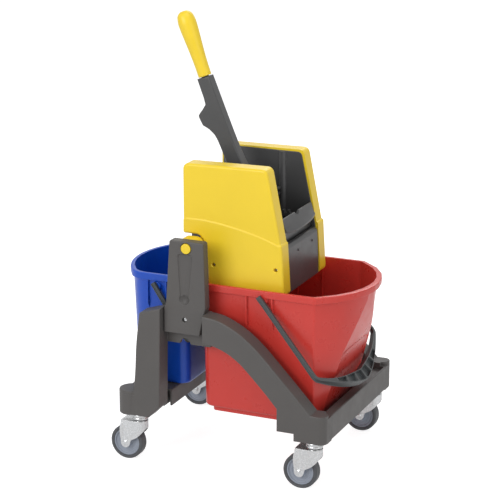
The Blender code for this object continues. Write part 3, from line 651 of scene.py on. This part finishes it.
def post(side, label):
    radii = [0.002, 0.002, 0.002, 0.005, 0.005, 0.002, 0.002, 0.002]
    body = soft_plate(POST, radii, side * POST_INNER, side * POST_OUTER, 0.0025)
    groove = mm((-80, 499), (-74.5, 400), (-57.5, 400), (-47, 499))
    cut(body, sunk(side, groove, POST_OUTER, 0.003, 0.0022))
    # Spherical dimple, bolt recess and the bearing's bore
    depth, radius = 0.0075, 0.0128
    ball = (radius * radius + depth * depth) / (2 * depth)
    centre = side * (POST_OUTER - depth + ball)
    bowl = []
    for k in range(17):
        angle = math.pi * k / 16
        bowl.append((ball * math.sin(angle), -ball * math.cos(angle)))
    bowl[0], bowl[-1] = (0.0, -ball), (0.0, ball)
    cut(body, turned(bowl, (DIMPLE[0], centre, DIMPLE[1])))
    place = (POST_BOLT[0], 0.0, POST_BOLT[1])
    cut(body, sided(beyond(POST_OUTER, (5.2, -10), (5.5, -1), (7.5, 1)), side, place))
    bore = beyond(POST_INNER, (0, -10), (12.6, -10)) + beyond(POST_OUTER, (12.6, -1), (14.6, 1), (0, 1))
    cut(body, sided(bore, side, (TRUNNION.x, 0.0, TRUNNION.z)))
    dress(body, "post_" + label, "frame_grey")
    head = beyond(POST_OUTER, (0, -9.7), (4.9, -9.7), (4.9, -6.8), (4.2, -6), (0, -6))
    bolt = sided(head, side, place, 32)
    cut(bolt, rod(0.0024, *span(side, POST_OUTER - 0.008, POST_OUTER), place, steps=6))
    dress(bolt, "post_bolt_" + label, "zinc")


def crossbars():
    front = mm(
        (162.5, 126), (162.5, 133.5), (243, 133.5), (245, 163), (270, 163), (271.5, 170), (276, 170),
        (276, 114.5), (272, 114.5), (270, 158), (249, 158), (247, 126)
    )
    radii = [0.001, 0.002, 0.004, 0.004, 0.001, 0.0015, 0.0022, 0.0018, 0.0015, 0.001, 0.001, 0.001]
    body = prism(rounded(front, radii), -BAR_END, BAR_END)
    web = mm((248, 128), (248.5, 159), (270.5, 159), (271.5, 122))
    for k in range(9):
        y = (k - 4) * 0.038
        joined(body, prism(web, y - 0.001, y + 0.001))
    dress(body, "front_crossbar", "frame_grey", 0.0005)
    rear = mm(
        (-220, 128), (-220, 167.5), (-118, 167.5), (-118, 128), (-122, 128), (-123.5, 162.5), (-215, 162.5),
        (-216.5, 128)
    )
    radii = [0.0, 0.004, 0.004, 0.0, 0.0, 0.002, 0.002, 0.0]
    body = prism(rounded(rear, radii), -0.1565, 0.1565)
    rail = mm((-176, 130), (-176, 163), (-130, 163), (-130, 130))
    joined(body, prism(rail, -BAR_END, BAR_END))
    for k in range(7):
        y = (k - 3) * 0.044
        joined(body, box((-0.216, y - 0.001, 0.131), (-0.1225, y + 0.001, 0.163)))
    dress(body, "rear_crossbar", "frame_grey", 0.0005)


# ---- casters
SHEET = 0.0022
YOKE = 0.0185
TRAIL = 0.03


def fork_shape():
    """A pressed yoke about its swivel: two legs joined round the front, a head plate and a kingpin."""
    side_view = smooth(mm((-40, 94), (-44, 70), (-41.2, 44)), 4)
    side_view += arc((-0.03, 0.0405), 0.0112, 175, 345, 10)[1:]
    side_view += smooth(mm((-16, 48), (0, 57.5), (13.5, 72), (20, 84)), 4)
    side_view += [(0.02, 0.094)]
    plan = [(-0.05, -YOKE)] + arc((0.0, 0.0), YOKE, -90, 90, 24) + [(-0.05, YOKE)]
    bore = [(-0.06, -YOKE + SHEET)] + arc((0.0, 0.0), YOKE - SHEET, -90, 90, 24) + [(-0.06, YOKE - SHEET)]
    body = cut(prism(plan, 0.028, 0.0955, "Z"), prism(bore, 0.02, 0.0936, "Z"))
    crown = side_view[:-1] + [(0.02, 0.096), (-0.0405, 0.096)]
    shared(body, prism(crown, -0.03, 0.03))
    # Raised disc that the balls run on, a pressed crease on each leg, and the axle's bore
    disc = mm(
        (16.5, 94.5), (16.5, 96), (15.8, 96.7), (11, 96.7), (10, 97.5), (8.5, 97.5), (8.5, 102), (0, 102),
        (0, 94.5)
    )
    joined(body, turned(disc, (0, 0, 0), "Z"))
    crease = mm((-38.5, 88), (-40.5, 68), (-37.5, 53), (-35.5, 54), (-37.5, 68), (-36, 88))
    washer = beyond(YOKE, (0, -1), (9, -1), (9, 0.4), (8.4, 0.9), (0, 0.9))
    for way in (-1, 1):
        joined(body, prism(crease, *span(way, YOKE - 0.0012, YOKE + 0.0009)))
        joined(body, sided(washer, way, (-TRAIL, 0, WHEEL_RADIUS)))
    return cut(body, rod(0.0043, -0.03, 0.03, (-TRAIL, 0.0, WHEEL_RADIUS)))


def wheel_shape():
    """Wheel centre with stepped rings, a hub and a lightening recess on each face."""
    half = mm(
        (31.3, 10.4), (29, 10.6), (28.2, 10), (27.6, 8), (26.2, 7), (24, 6.8), (23.2, 7.4), (20.6, 7.4),
        (19.8, 6.4), (16, 6), (13.2, 6.6), (12.2, 8.2), (11.6, 12.8), (10.8, 14.3), (9.6, 14.8),
        (4.7, 14.8)
    )
    return turned(both_ways(half), (0, 0, 0), steps=64, closed=True)


def tyre_shape():
    """Smooth tread with rounded shoulders and a raised bead against the wheel centre."""
    half = []
    for k in range(9):
        angle = math.radians(90 * k / 8)
        radius = WHEEL_RADIUS - 0.0038 * (1 - math.cos(angle)) - 0.00025 * (k / 8)
        half.append((radius, 0.0087 + 0.0038 * math.sin(angle)))
    half += mm((34.9, 12.3), (34.2, 11.6), (33.4, 11.6), (32.6, 11.9), (31.7, 11.2))
    return turned(both_ways([(WHEEL_RADIUS, 0.003)] + half), (0, 0, 0), steps=72, closed=True)


def axle_shape():
    """Axle with a domed head at one end and a hexagon nut at the other."""
    profile = mm(
        (0, -21.2), (3, -21), (5.4, -20.3), (6.8, -19.2), (7, -19), (4, -19), (4, 21.2), (3.4, 22.2),
        (0, 22.2)
    )
    body = turned(profile, (0, 0, 0), steps=32)
    nut = mm((4.2, 19), (6.2, 19), (6.7, 19.5), (6.7, 20.5), (6, 21.1), (4.2, 21.1))
    return joined(body, turned(nut, (0, 0, 0), steps=6, closed=True))


def cup_shape():
    """Ball-race cup: two rolled rings, with a dust lip below."""
    top = FRAME_BOTTOM - GAP
    profile = mm(
        (12, 99), (17.2, 98.8), (18.6, 99.6), (19.3, 101.2), (19, 103), (18, 104.2), (18, 105.2),
        (19, 106.2), (19.5, 108), (19.2, 110)
    )
    profile += [(0.0182, 0.1114), (0.018, top), (0.0, top), (0.0, 0.103), (0.012, 0.103)]
    return turned(profile, (0, 0, 0), "Z", steps=56, closed=True)


def casters():
    kinds = [("fork", fork_shape(), "zinc"), ("wheel", wheel_shape(), "wheel_grey")]
    kinds += [("tyre", tyre_shape(), "tyre_grey"), ("axle", axle_shape(), "zinc")]
    kinds.append(("cup", cup_shape(), "zinc"))
    for end in ("front_", "rear_"):
        for side, label in ((-1, "right"), (1, "left")):
            swivel = joint_at("swivel_" + end + label) - SHIFT
            hub = joint_at("roll_" + end + label) - SHIFT
            base = Vector((swivel.x, swivel.y, 0.0))
            half_turn = Matrix.Rotation(math.pi if side > 0 else 0.0, 3, "Z")
            for kind, shape, finish in kinds:
                place = base if kind in ("fork", "cup") else hub
                piece = moved(copied(shape), place, half_turn if kind == "axle" else None)
                dress(piece, f"caster_{kind}_{end}{label}", finish, 0.0004 if kind == "fork" else 0.0)
    for _, shape, _ in kinds:
        bpy.data.objects.remove(shape)


# ---- buckets
LIP_HEIGHT = 0.016
LIP_OUT = 0.006
FRONT_LIP = 1.8
BUCKET_WALL = 0.003
DRAFT = 0.026
FLAT_CORNER = 0.02
RED_HALF = 0.149
BLUE_HALF = 0.127
FACET_LOW = (0.134, 0.104)
FACET_MIDDLE = (0.285, 0.086)
FACET_HIGH = (0.402, 0.012)
FACET_CROWN = 0.12
FACET_STEP = 0.0022
ARCH_TOP = 0.2885


def facet(z):
    """Half width of the flat face on the front bow at one height: its creases rake in towards the rim."""
    if z < FACET_MIDDLE[0]:
        (z0, w0), (z1, w1) = FACET_LOW, FACET_MIDDLE
        return w0 + (w1 - w0) * (max(z, z0) - z0) / (z1 - z0)
    (z0, w0), (z1, w1) = FACET_MIDDLE, FACET_HIGH
    t = min(1.0, (z - z0) / (z1 - z0))
    return w0 + (w1 - w0) * (0.75 * t + 0.25 * t * t)


def bucket_ring(flat, shoulder, bow, half, z, scooped, turn):
    """One level of a bucket: bow is the far end of the curved side, and the flat end is opposite."""
    way = 1.0 if bow > flat else -1.0
    depth = abs(bow - shoulder)
    radius = (half * half + depth * depth) / (2 * depth)
    middle = bow - way * radius
    edge = facet(z)

    def bowed(y):
        crown = math.sqrt(radius * radius - y * y)
        if scooped and y < edge:
            # The nearly flat face stands across the bow, and drops back a little below its arch
            chord = math.sqrt(radius * radius - edge * edge)
            x = middle + way * (chord + FACET_CROWN * (crown - chord))
            arch = ARCH_TOP - 1.5 * max(0.0, y - 0.02) ** 2
            fall = min(1.0, max(0.0, (arch - z) / 0.006))
            fall = fall * fall * (3 - 2 * fall)
            inside = min(1.0, (edge - y) / 0.0028)
            return x - way * FACET_STEP * fall * inside
        return middle + way * crown

    points = []
    for k in range(9):
        angle = math.pi * k / 16
        x = flat + way * FLAT_CORNER * (1 - math.cos(angle))
        points.append((x, half - FLAT_CORNER * (1 - math.sin(angle))))
    # A tight corner where the straight side meets the bow
    start = Vector((shoulder - way * turn, half))
    end = Vector((bowed(half - turn * 0.8), half - turn * 0.8))
    pull = Vector((shoulder, half))
    for k in range(7):
        t = k / 6
        points.append(tuple(start * (1 - t) ** 2 + pull * 2 * t * (1 - t) + end * t * t))
    last = half - turn * 0.8
    for k in range(1, 5):
        y = last + (edge + 0.0012 - last) * k / 4
        points.append((bowed(y), y))
    for y in [edge, edge - 0.0028] + [(edge - 0.0028) * (1 - k / 9) for k in range(1, 9)]:
        points.append((bowed(y), y))
    ring = [(x, y, z) for x, y in points]
    return ring + [(bowed(0.0), 0.0, z)] + [(x, -y, z) for x, y, _ in reversed(ring)]


def bucket(flat, shoulder, bow, half, floor, rake, tuck, scooped):
    """A tapered bucket with a rolled lip. Its bowed end leans by rake and pulls in by tuck low down."""
    way = 1.0 if bow > flat else -1.0
    height = RIM - LIP_HEIGHT

    def ring(z, grow):
        fall = height - z
        low = max(0.0, (0.3 - z) / (0.3 - floor)) ** 1.5
        shrink = DRAFT * fall - grow
        lean = rake * fall + tuck * low - grow * (FRONT_LIP if grow > 0 and scooped else 1.0)
        return bucket_ring(
            flat + way * (0.2 * DRAFT * fall - grow),
            shoulder + way * (0.6 * grow if scooped else 0.5 * grow - 0.5 * lean),
            bow - way * lean,
            half - shrink,
            z,
            scooped,
            0.003 if scooped else 0.02,
        )

    levels = [floor + 0.008 + (height - floor - 0.01) * k / 14 for k in range(15)]
    if scooped:
        levels = [z for z in levels if not ARCH_TOP - 0.023 < z < ARCH_TOP + 0.003]
        levels += [ARCH_TOP - 0.0015 * k for k in range(15)]
        levels.sort()
    # How far the wall stands out, at each height: the foot and the wall, the rolled lip, then the inside
    outside = beyond(floor, (-8, 0), (-4.5, 0.6), (-2, 2.2), (-0.6, 4.5)) + [(0.0, z) for z in levels]
    outside += beyond(height, (0.6, -0.6), (2, 0))
    lip = beyond(height, (-1.2, 0), (-0.3, 0.4), (0, 1.4))
    lip += beyond(RIM, (0, -3), (-0.6, -1), (-1.8, -0.2), (-3.2, 0))
    inside = beyond(RIM, (2, 0), (0.9, -0.3), (0.2, -1.4)) + [(0.0, z) for z in reversed(levels[1:])]
    inside += beyond(floor, (-0.4, 14), (-2, 8), (-5, 4.5), (-11, 3))
    rings = []
    for start, steps in ((0.0, outside), (LIP_OUT, lip), (-BUCKET_WALL, inside)):
        rings += [ring(z, start + grow) for grow, z in steps]
    return lofted(rings)


def bucket_ear(body, pivot, half, side, ribs, low_end):
    """Ribs under the lip, and the thickened pad that the bail's pin turns in."""
    for x in ribs:
        inner, outer = half - 0.005, half + LIP_OUT - 0.0008
        top = RIM - LIP_HEIGHT + 0.004
        section = [(inner - 0.002, low_end), (inner, low_end), (outer, low_end + 0.02)]
        section = [(side * y, z) for y, z in section + [(outer, top), (inner, top)]]
        joined(body, prism(section, x - 0.0018, x + 0.0018, "X"))
    place = (pivot.x, 0.0, pivot.z)
    face = half + LIP_OUT - 0.0005
    pad = beyond(half, (0, -3.5), (12.5, -3.5), (11.8, 1.2), (10.5, 2))
    pad += beyond(face, (9.8, -0.5), (9.2, 0), (0, 0))
    joined(body, sided(pad, side, place, 32))
    cut(body, rod(0.0043, *span(side, half - 0.0005, half + 0.02), place))


POCKET_HALF = 0.112
POCKET_DEPTH = 0.0075
RIB_HALF = 0.004


def bail(node, pivot, lean, tail, arm, reach, inner, splay, curve, grip, ribs):
    """A bucket bail in a plane that leans by the given angle: two grooved arms and a bowed grip.

    The grip spreads inwards, and holds a pocket along its upper face, crossed by ribs.
    """
    centre = Vector((pivot.x, 0.0, pivot.z))
    down = Vector((math.cos(lean), 0.0, -math.sin(lean)))
    out = Vector((math.sin(lean), 0.0, math.cos(lean)))
    wide = 0.004
    near = inner + wide
    far = near + splay
    path = []
    for k in range(10):
        s = -tail + (arm - 0.012 + tail) * k / 9
        path.append((s, near + (far - near) * max(0.0, s) / arm))
    path += [(arm - 0.006, far - 0.0008), (arm - 0.001, far - 0.0028)]
    count = 96
    for k in range(1, count + 1):
        y = (far - 0.004) * (1 - k / count)
        path.append((arm + reach * (1 - (y / far) ** curve), y))
    points = path + [(s, -y) for s, y in reversed(path[:-1])]
    rings = []
    for i, (s, y) in enumerate(points):
        before, after = Vector(points[max(i - 1, 0)]), Vector(points[min(i + 1, len(points) - 1)])
        along = (after - before).normalized()
        across = Vector((along.y, -along.x))
        full = max(0.0, 1 - (y / far) ** 2) if s >= arm else 0.0
        swell = wide + grip[2] * full**3
        low = -0.0055 - grip[0] * full
        high = 0.005 + grip[1] * full
        pocket = 0.0
        if ribs and s >= arm and abs(y) < POCKET_HALF:
            pocket = POCKET_DEPTH
            if abs(y - ribs * round(y / ribs)) < RIB_HALF:
                pocket = 0.0006
        groove = 0.0016 * (1 - full)
        rim = 0.002
        flank = [(0.0, low + 0.0008), (0.0, low + rim), (groove, low + rim + 0.0006)]
        flank += [(groove, high - rim - 0.0006), (0.0, high - rim), (0.0, high - 0.0008)]
        flank += [(0.0008, high), (0.0022, high), (0.0026, high - pocket)]
        section = [(depth - wide, v) for depth, v in flank] + [(swell - depth, v) for depth, v in flank[::-1]]
        section += [(swell - 0.0008, low), (0.0008 - wide, low)]
        ring = []
        for u, v in section:
            flat = Vector((s, y)) + across * u
            ring.append(centre + down * flat.x + Vector((0, flat.y, 0)) + out * v)
        rings.append(ring)
    body = lofted(rings)
    for side in (-1, 1):
        joined(body, rod(0.004, *span(side, inner - 0.0055, inner + 0.0035), centre))
    dress(body, node, "bail_grey")


def buckets():
    red = bucket(-0.0475, 0.2215, 0.301, RED_HALF, 0.134, 0.11, 0.043, True)
    foot = mm((-31, -128), (152, -128), (152, 128), (-31, 128))
    foot = prism(rounded(foot, 0.012), 0.122, 0.1345, "Z")
    hollow = rounded(mm((-27, -124), (148, -124), (148, 124), (-27, 124)), 0.009)
    joined(red, cut(foot, prism(hollow, 0.1, 0.1335, "Z")))
    for side in (-1, 1):
        bucket_ear(red, RED_PIVOT, RED_HALF, side, (0.064, 0.1255), 0.33)
        joined(red, slab(side, (-0.042, -0.02), (0.138, 0.16), (0.3045, 0.314)))
    dress(red, "bucket_red", "bucket_red")
    inner = RED_HALF + LIP_OUT + 0.001
    lean = math.radians(48.4)
    bail("bail_red", RED_PIVOT, lean, 0.012, 0.206, 0.0691, inner, 0.0195, 1.45, (0.009, 0.004, 0.02), 0.038)
    blue = bucket(-0.094, -0.214, -0.267, BLUE_HALF, 0.168, 0.045, 0.0, False)
    for side in (-1, 1):
        bucket_ear(blue, BLUE_PIVOT, BLUE_HALF, side, (-0.188, -0.142), 0.336)
    dress(blue, "bucket_blue", "bucket_blue")
    inner = BLUE_HALF + LIP_OUT + 0.0008
    lean = math.radians(56.0)
    bail("bail_blue", BLUE_PIVOT, lean, 0.011, 0.137, 0.011, inner, 0.0, 8.0, (0.0005, 0.001, 0.003), 0.0)


# ---- press
SHELL = mm(
    (-41, 406), (143, 406), (137, 519), (99.5, 690), (-101.5, 687), (-101.5, 528), (-52, 528), (-52, 493),
    (-44, 474)
)
SHELL_RADII = [0.004, 0.01, 0.02, 0.014, 0.014, 0.004, -0.018, 0.01, -0.01]
SHELL_STEP = 0.0018
SHELL_CREASE = mm((135.8, 524.5), (80, 543), (18, 557), (-44, 565.5), (-101.5, 566))
SHELL_SCREWS = [("rear_", -0.027, 0.463), ("front_", 0.122, 0.468)]


def shell(side, label):
    """Side cover: a softly rounded plate whose lower part stands proud, below a sweeping crease."""
    inner, outer = side * SHELL_INNER, side * SHELL_OUTER
    upper = SHELL[:1] + [(0.135, 0.41), (0.133, 0.5205)] + SHELL[3:]
    body = soft_plate(upper, SHELL_RADII, inner, outer - side * SHELL_STEP, 0.006, 6)
    crease = smooth(SHELL_CREASE, 6)
    lower = SHELL[:2] + crease + SHELL[5:]
    radii = SHELL_RADII[:2] + [0.006] + [0.0] * (len(crease) - 2) + [0.01] + SHELL_RADII[5:]
    joined(body, soft_plate(lower, radii, inner + side * 0.0004, outer, 0.006, 6))
    for name, x, z in SHELL_SCREWS:
        hole = beyond(SHELL_INNER, (0, -2), (4.2, -2))
        hole += beyond(SHELL_OUTER, (4.2, -1.4), (6, 0.6), (6, 4), (0, 4))
        cut(body, sided(hole, side, (x, 0.0, z)))
        top = SHELL_OUTER - 0.009
        head = beyond(SHELL_INNER, (0, 0), (3.8, 0)) + beyond(top, (3.8, -0.7), (3, 0), (0, 0))
        screw = sided(head, side, (x, 0.0, z), 32)
        cut(screw, rod(0.0018, *span(side, top - 0.002, SHELL_OUTER), (x, 0.0, z), steps=6))
        dress(screw, "press_screw_" + name + label, "zinc")
    dress(body, "press_shell_" + label, "press_yellow")


LINER = mm((-40, 411), (134, 411), (129.8, 519), (94.5, 684.5), (-97.5, 684.5), (-97.5, 492), (-40, 478))
RIDGE = (0.049, 0.0855)
RIDGE_ENDS = (0.53, 0.6835)


def liner(side, label):
    """Inner wall of the press, with a half-round ridge, a rack shelf and the shaft's bearing ring."""
    radii = [0.003, 0.003, 0.018, 0.011, 0.011, 0.006, 0.003]
    body = soft_plate(LINER, radii, side * LINER_OUTER, side * LINER_INNER, 0.0012, 2)
    ridge = []
    for k in range(17):
        angle = math.pi * k / 16
        x = RIDGE[0] + 0.0085 * math.cos(angle)
        ridge.append((x, side * (RIDGE[1] + 0.0015 - 0.008 * math.sin(angle))))
    joined(body, prism(ridge, *RIDGE_ENDS, "Z"))
    joined(body, slab(side, (-0.03, 0.012), (0.056, 0.086), (0.53, 0.5377)))
    ring = mm((9.4, 86.2), (9.4, 83.5), (15, 83.5), (15.8, 84.2), (15.8, 86.2))
    axis = (SHAFT.x, 0.0, SHAFT.z)
    joined(body, sided(ring, side, axis, closed=True))
    cut(body, rod(0.0093, *span(side, 0.08, 0.0945), axis))
    dress(body, "press_liner_" + label, "press_grey", 0.0004)


def trunnion(side, label):
    """Bearing block and pin, with a dished cap showing through the post."""
    axis = (TRUNNION.x, 0.0, TRUNNION.z)
    profile = beyond(LINER_OUTER + GAP, (0, 0), (7, 0)) + mm((7, 140), (11.6, 140))
    profile += beyond(POST_OUTER, (11.6, 0.4), (11.2, 1.3), (10.4, 1.8), (0, 1.8))
    body = sided(profile, side, axis, 64)
    x, z = TRUNNION.x, TRUNNION.z
    block = [(x - 0.034, z - 0.02), (x + 0.014, z - 0.02), (x + 0.014, z + 0.012), (x - 0.034, z + 0.012)]
    radii = [0.008, 0.006, 0.018, 0.014]
    joined(body, soft_plate(block, radii, side * 0.13, side * 0.1722, 0.0015, 3, 0.0015))
    dress(body, "trunnion_" + label, "press_yellow")


def press_walls():
    half = LINER_INNER - GAP
    front = [(0.1352, 0.408)] + smooth(mm((131.8, 495), (129, 506), (124, 511.5)), 4)
    front += [(0.124, 0.516)] + arc((0.1238, 0.504), 0.012, 78, 6, 12)
    front += smooth(mm((136.6, 490), (138.4, 450), (139.5, 408)), 4)
    body = prism(front, -half, half)
    for y, z in ((-0.03, 0.492), (0.052, 0.492)):
        pin = mm((0, 130), (2.6, 130), (2.6, 138.2), (1.8, 138.8), (0, 138.8))
        joined(body, turned(pin, (0.0, y, z), "X", 20))
    dress(body, "press_front_wall", "press_grey")


def jaw():
    """Moving jaw: the front squeezing plate under a visor that bulges forwards, with ribs on its face."""
    half = LINER_INNER - 0.0015
    visor = []
    for k in range(33):
        y = half * (k - 16) / 16
        bulge = 0.008 * (1 - (y / half) ** 2)
        ends = 0.004 * (abs(y) / half) ** 6
        section = mm(
            (116, 535), (116, 560), (116.6, 569), (117.5, 571.8), (119, 572.6), (121.2, 571.2),
            (122.2, 568)
        )
        slope = [(0.124 + 0.2 * bulge, 0.561), (0.1268 + 0.5 * bulge, 0.552), (0.13 + bulge, 0.543 + ends)]
        back = [(0.1262 + 0.8 * bulge, 0.545 + ends), (0.1225 + 0.4 * bulge, 0.554), (0.1195, 0.56)]
        section += smooth(slope, 4) + [(0.1304 + bulge, 0.5405 + ends), (0.1296 + bulge, 0.5384 + ends)]
        section += [(0.1284 + bulge, 0.5388 + ends)] + smooth(back, 4) + [(0.1192, 0.535)]
        visor.append([(x, y, z) for x, z in section])
    body = lofted(visor)
    joined(body, box((0.116, -half, 0.4185), (0.1192, half, 0.54)))
    notch = mm((13, 580), (10, 571.5), (6, 567.2), (3, 565.5), (-6, 565.5))
    notch = smooth(notch + mm((-10, 567.2), (-13.5, 571.5), (-16, 580)), 4)
    cut(body, prism(notch, 0.1, 0.126, "X"))
    for k in range(7):
        y = 0.0165 * (k - 3)
        joined(body, box((0.1125, y - 0.002, 0.426), (0.1165, y + 0.002, 0.54)))
    dress(body, "press_jaw", "press_grey")


GRIP_BASE = (-0.1025, 0.857)
GRIP_LEAN = math.radians(20.2)


def lever():
    """The lever: a tapering arm with a stop lug, on a hub keyed to its shaft, and a moulded grip."""
    half = 0.014
    lug = mm((-97.5, 796), (-104, 785), (-113, 772), (-113, 765), (-104, 748))
    rear = mm((-88, 740), (-74, 727), (-62, 705), (-46, 667), (-21, 605))
    front = mm((31, 605), (22, 635), (-2, 664), (-30, 720), (-88.5, 861.5))
    outline = [(-0.117, 0.8515), (-0.102, 0.812)] + smooth(lug, 4) + smooth(rear)
    outline += arc((SHAFT.x, SHAFT.z), 0.026, 200, 340, 16) + smooth(front)
    body = soft_plate(outline, [0.0] * len(outline), -half, half, 0.0035, 4, 0.0035)
    axis = (SHAFT.x, 0.0, SHAFT.z)
    boss = both_ways(mm((22, 18.5), (20.5, 20), (9.4, 20)))
    joined(body, turned(boss, axis, closed=True))
    cut(body, rod(0.0093, -0.03, 0.03, axis))
    lean = Vector((-math.sin(GRIP_LEAN), 0.0, math.cos(GRIP_LEAN)))
    base = Vector((GRIP_BASE[0], 0.0, GRIP_BASE[1]))
    turn = lean.to_track_quat("Z", "Y").to_matrix()
    joined(body, moved(rod(0.0085, 0.0, 0.06, (0, 0, 0), "Z"), base - lean * 0.01, turn))
    dress(body, "lever_arm", "press_grey")
    outer = mm(
        (15, 3), (15.3, 30), (16.8, 60), (19, 92), (20.5, 118), (19.9, 130), (16.8, 142.5), (10, 149.3),
        (4, 150.8)
    )
    profile = mm((0, 0), (14, 0), (14.8, 0.6), (15.2, 1.8), (14.6, 2.6))
    profile += smooth(outer, 4) + [(0.0, 0.151)]
    grip = moved(turned(profile, (0, 0, 0), "Z", 56), base + lean * 0.0015, turn)
    cut(grip, moved(rod(0.0088, 0.0, 0.055, (0, 0, 0), "Z"), base - lean * 0.0015, turn))
    dress(grip, "lever_grip", "press_yellow")


for hand, hand_name in ((-1, "right"), (1, "left")):
    side_frame(hand, hand_name)
    post(hand, hand_name)
    shell(hand, hand_name)
    liner(hand, hand_name)
    trunnion(hand, hand_name)
crossbars()
casters()
buckets()
press_walls()
jaw()
lever()

# Pieces deep in the press keep their CAD shape, and take their finish and softened edges
for node in sorted(frame["nodes"]):
    kept = frame["nodes"][node]
    if kept.hide_render:
        continue
    finish = "zinc" if node == "lever_shaft" else "press_grey"
    kept.data.materials.clear()
    kept.data.materials.append(material(finish))


# ---- studio
def area_light(name, place, target, size, power):
    data = bpy.data.lights.new(name, "AREA")
    data.shape = "RECTANGLE"
    data.size, data.size_y = size
    data.energy = power
    light = placed(name, data)
    light.location = place
    light.rotation_euler = (Vector(place) - Vector(target)).to_track_quat("Z", "Y").to_euler()


def glow(tree, low, seen, shine):
    """A light strength: low for diffuse light, seen for the camera, and shine added in reflections."""
    path = tree.nodes.new("ShaderNodeLightPath")
    level = tree.nodes.new("ShaderNodeMapRange")
    socket(level, "To Min", low)
    socket(level, "To Max", seen)
    tree.links.new(path.outputs["Is Camera Ray"], level.inputs["Value"])
    total = tree.nodes.new("ShaderNodeMath")
    total.operation = "MULTIPLY_ADD"
    tree.links.new(path.outputs["Is Glossy Ray"], total.inputs[0])
    total.inputs[1].default_value = shine
    tree.links.new(level.outputs["Result"], total.inputs[2])
    return total.outputs["Value"]


CAMERA_TARGET = Vector((0.0062, 0.0, 0.4676))
CAMERA_DISTANCE = 4.3104
AZIMUTH = math.radians(23.8007)
ELEVATION = math.radians(16.2568)
FOCAL_LENGTH = 137.309


def camera():
    """A long lens that looks at the right side from the front, and a little down."""
    level = math.cos(ELEVATION)
    back = Vector((math.sin(AZIMUTH) * level, -math.cos(AZIMUTH) * level, math.sin(ELEVATION)))
    lens = bpy.data.cameras.new("camera")
    lens.sensor_width = 36.0
    lens.lens = FOCAL_LENGTH
    made = placed("camera", lens)
    made.location = SHIFT + CAMERA_TARGET + back * CAMERA_DISTANCE
    made.rotation_euler = back.to_track_quat("Z", "Y").to_euler()
    bpy.context.scene.camera = made


def studio():
    scene = bpy.context.scene
    scene.view_settings.view_transform = "Standard"
    scene.view_settings.look = "None"
    camera()
    middle = Vector((0.0, 0.0, 0.4))
    area_light("key", (-1.1, -3.0, 1.9), middle, (1.9, 1.7), 50.0)
    area_light("fill", (3.0, -1.2, 1.2), middle, (1.6, 2.0), 17.0)
    area_light("rim", (-0.6, 2.6, 2.4), middle, (2.0, 1.2), 24.0)
    area_light("top", (0.45, -0.5, 2.6), Vector((0.15, 0.0, 0.35)), (1.1, 1.1), 13.0)
    world = bpy.data.worlds.new("studio")
    scene.world = world
    world.use_nodes = True
    background = world.node_tree.nodes["Background"]
    socket(background, "Color", (1.0, 1.0, 1.0, 1.0))
    strength = glow(world.node_tree, 0.47, 1.0, 0.3)
    world.node_tree.links.new(strength, background.inputs["Strength"])
    floor = prism([(-40.0, -40.0), (40.0, -40.0), (40.0, 40.0), (-40.0, 40.0)], -0.02, 0.0, "Z")
    floor.name = "floor"
    finish = Tree("floor_white")
    shader = finish.shader
    socket(shader, "Base Color", (0.6, 0.6, 0.6, 1.0))
    socket(shader, "Roughness", 0.9)
    socket(shader, "Specular IOR Level", 0.1)
    socket(shader, "Emission Color", (1.0, 1.0, 1.0, 1.0))
    # The floor glows for the camera, so that it reads as plain white, and only a little for the object
    finish.link(glow(finish.tree, 0.2, 0.82, 0.3), shader.inputs["Emission Strength"])
    floor.data.materials.append(finish.material)


studio()
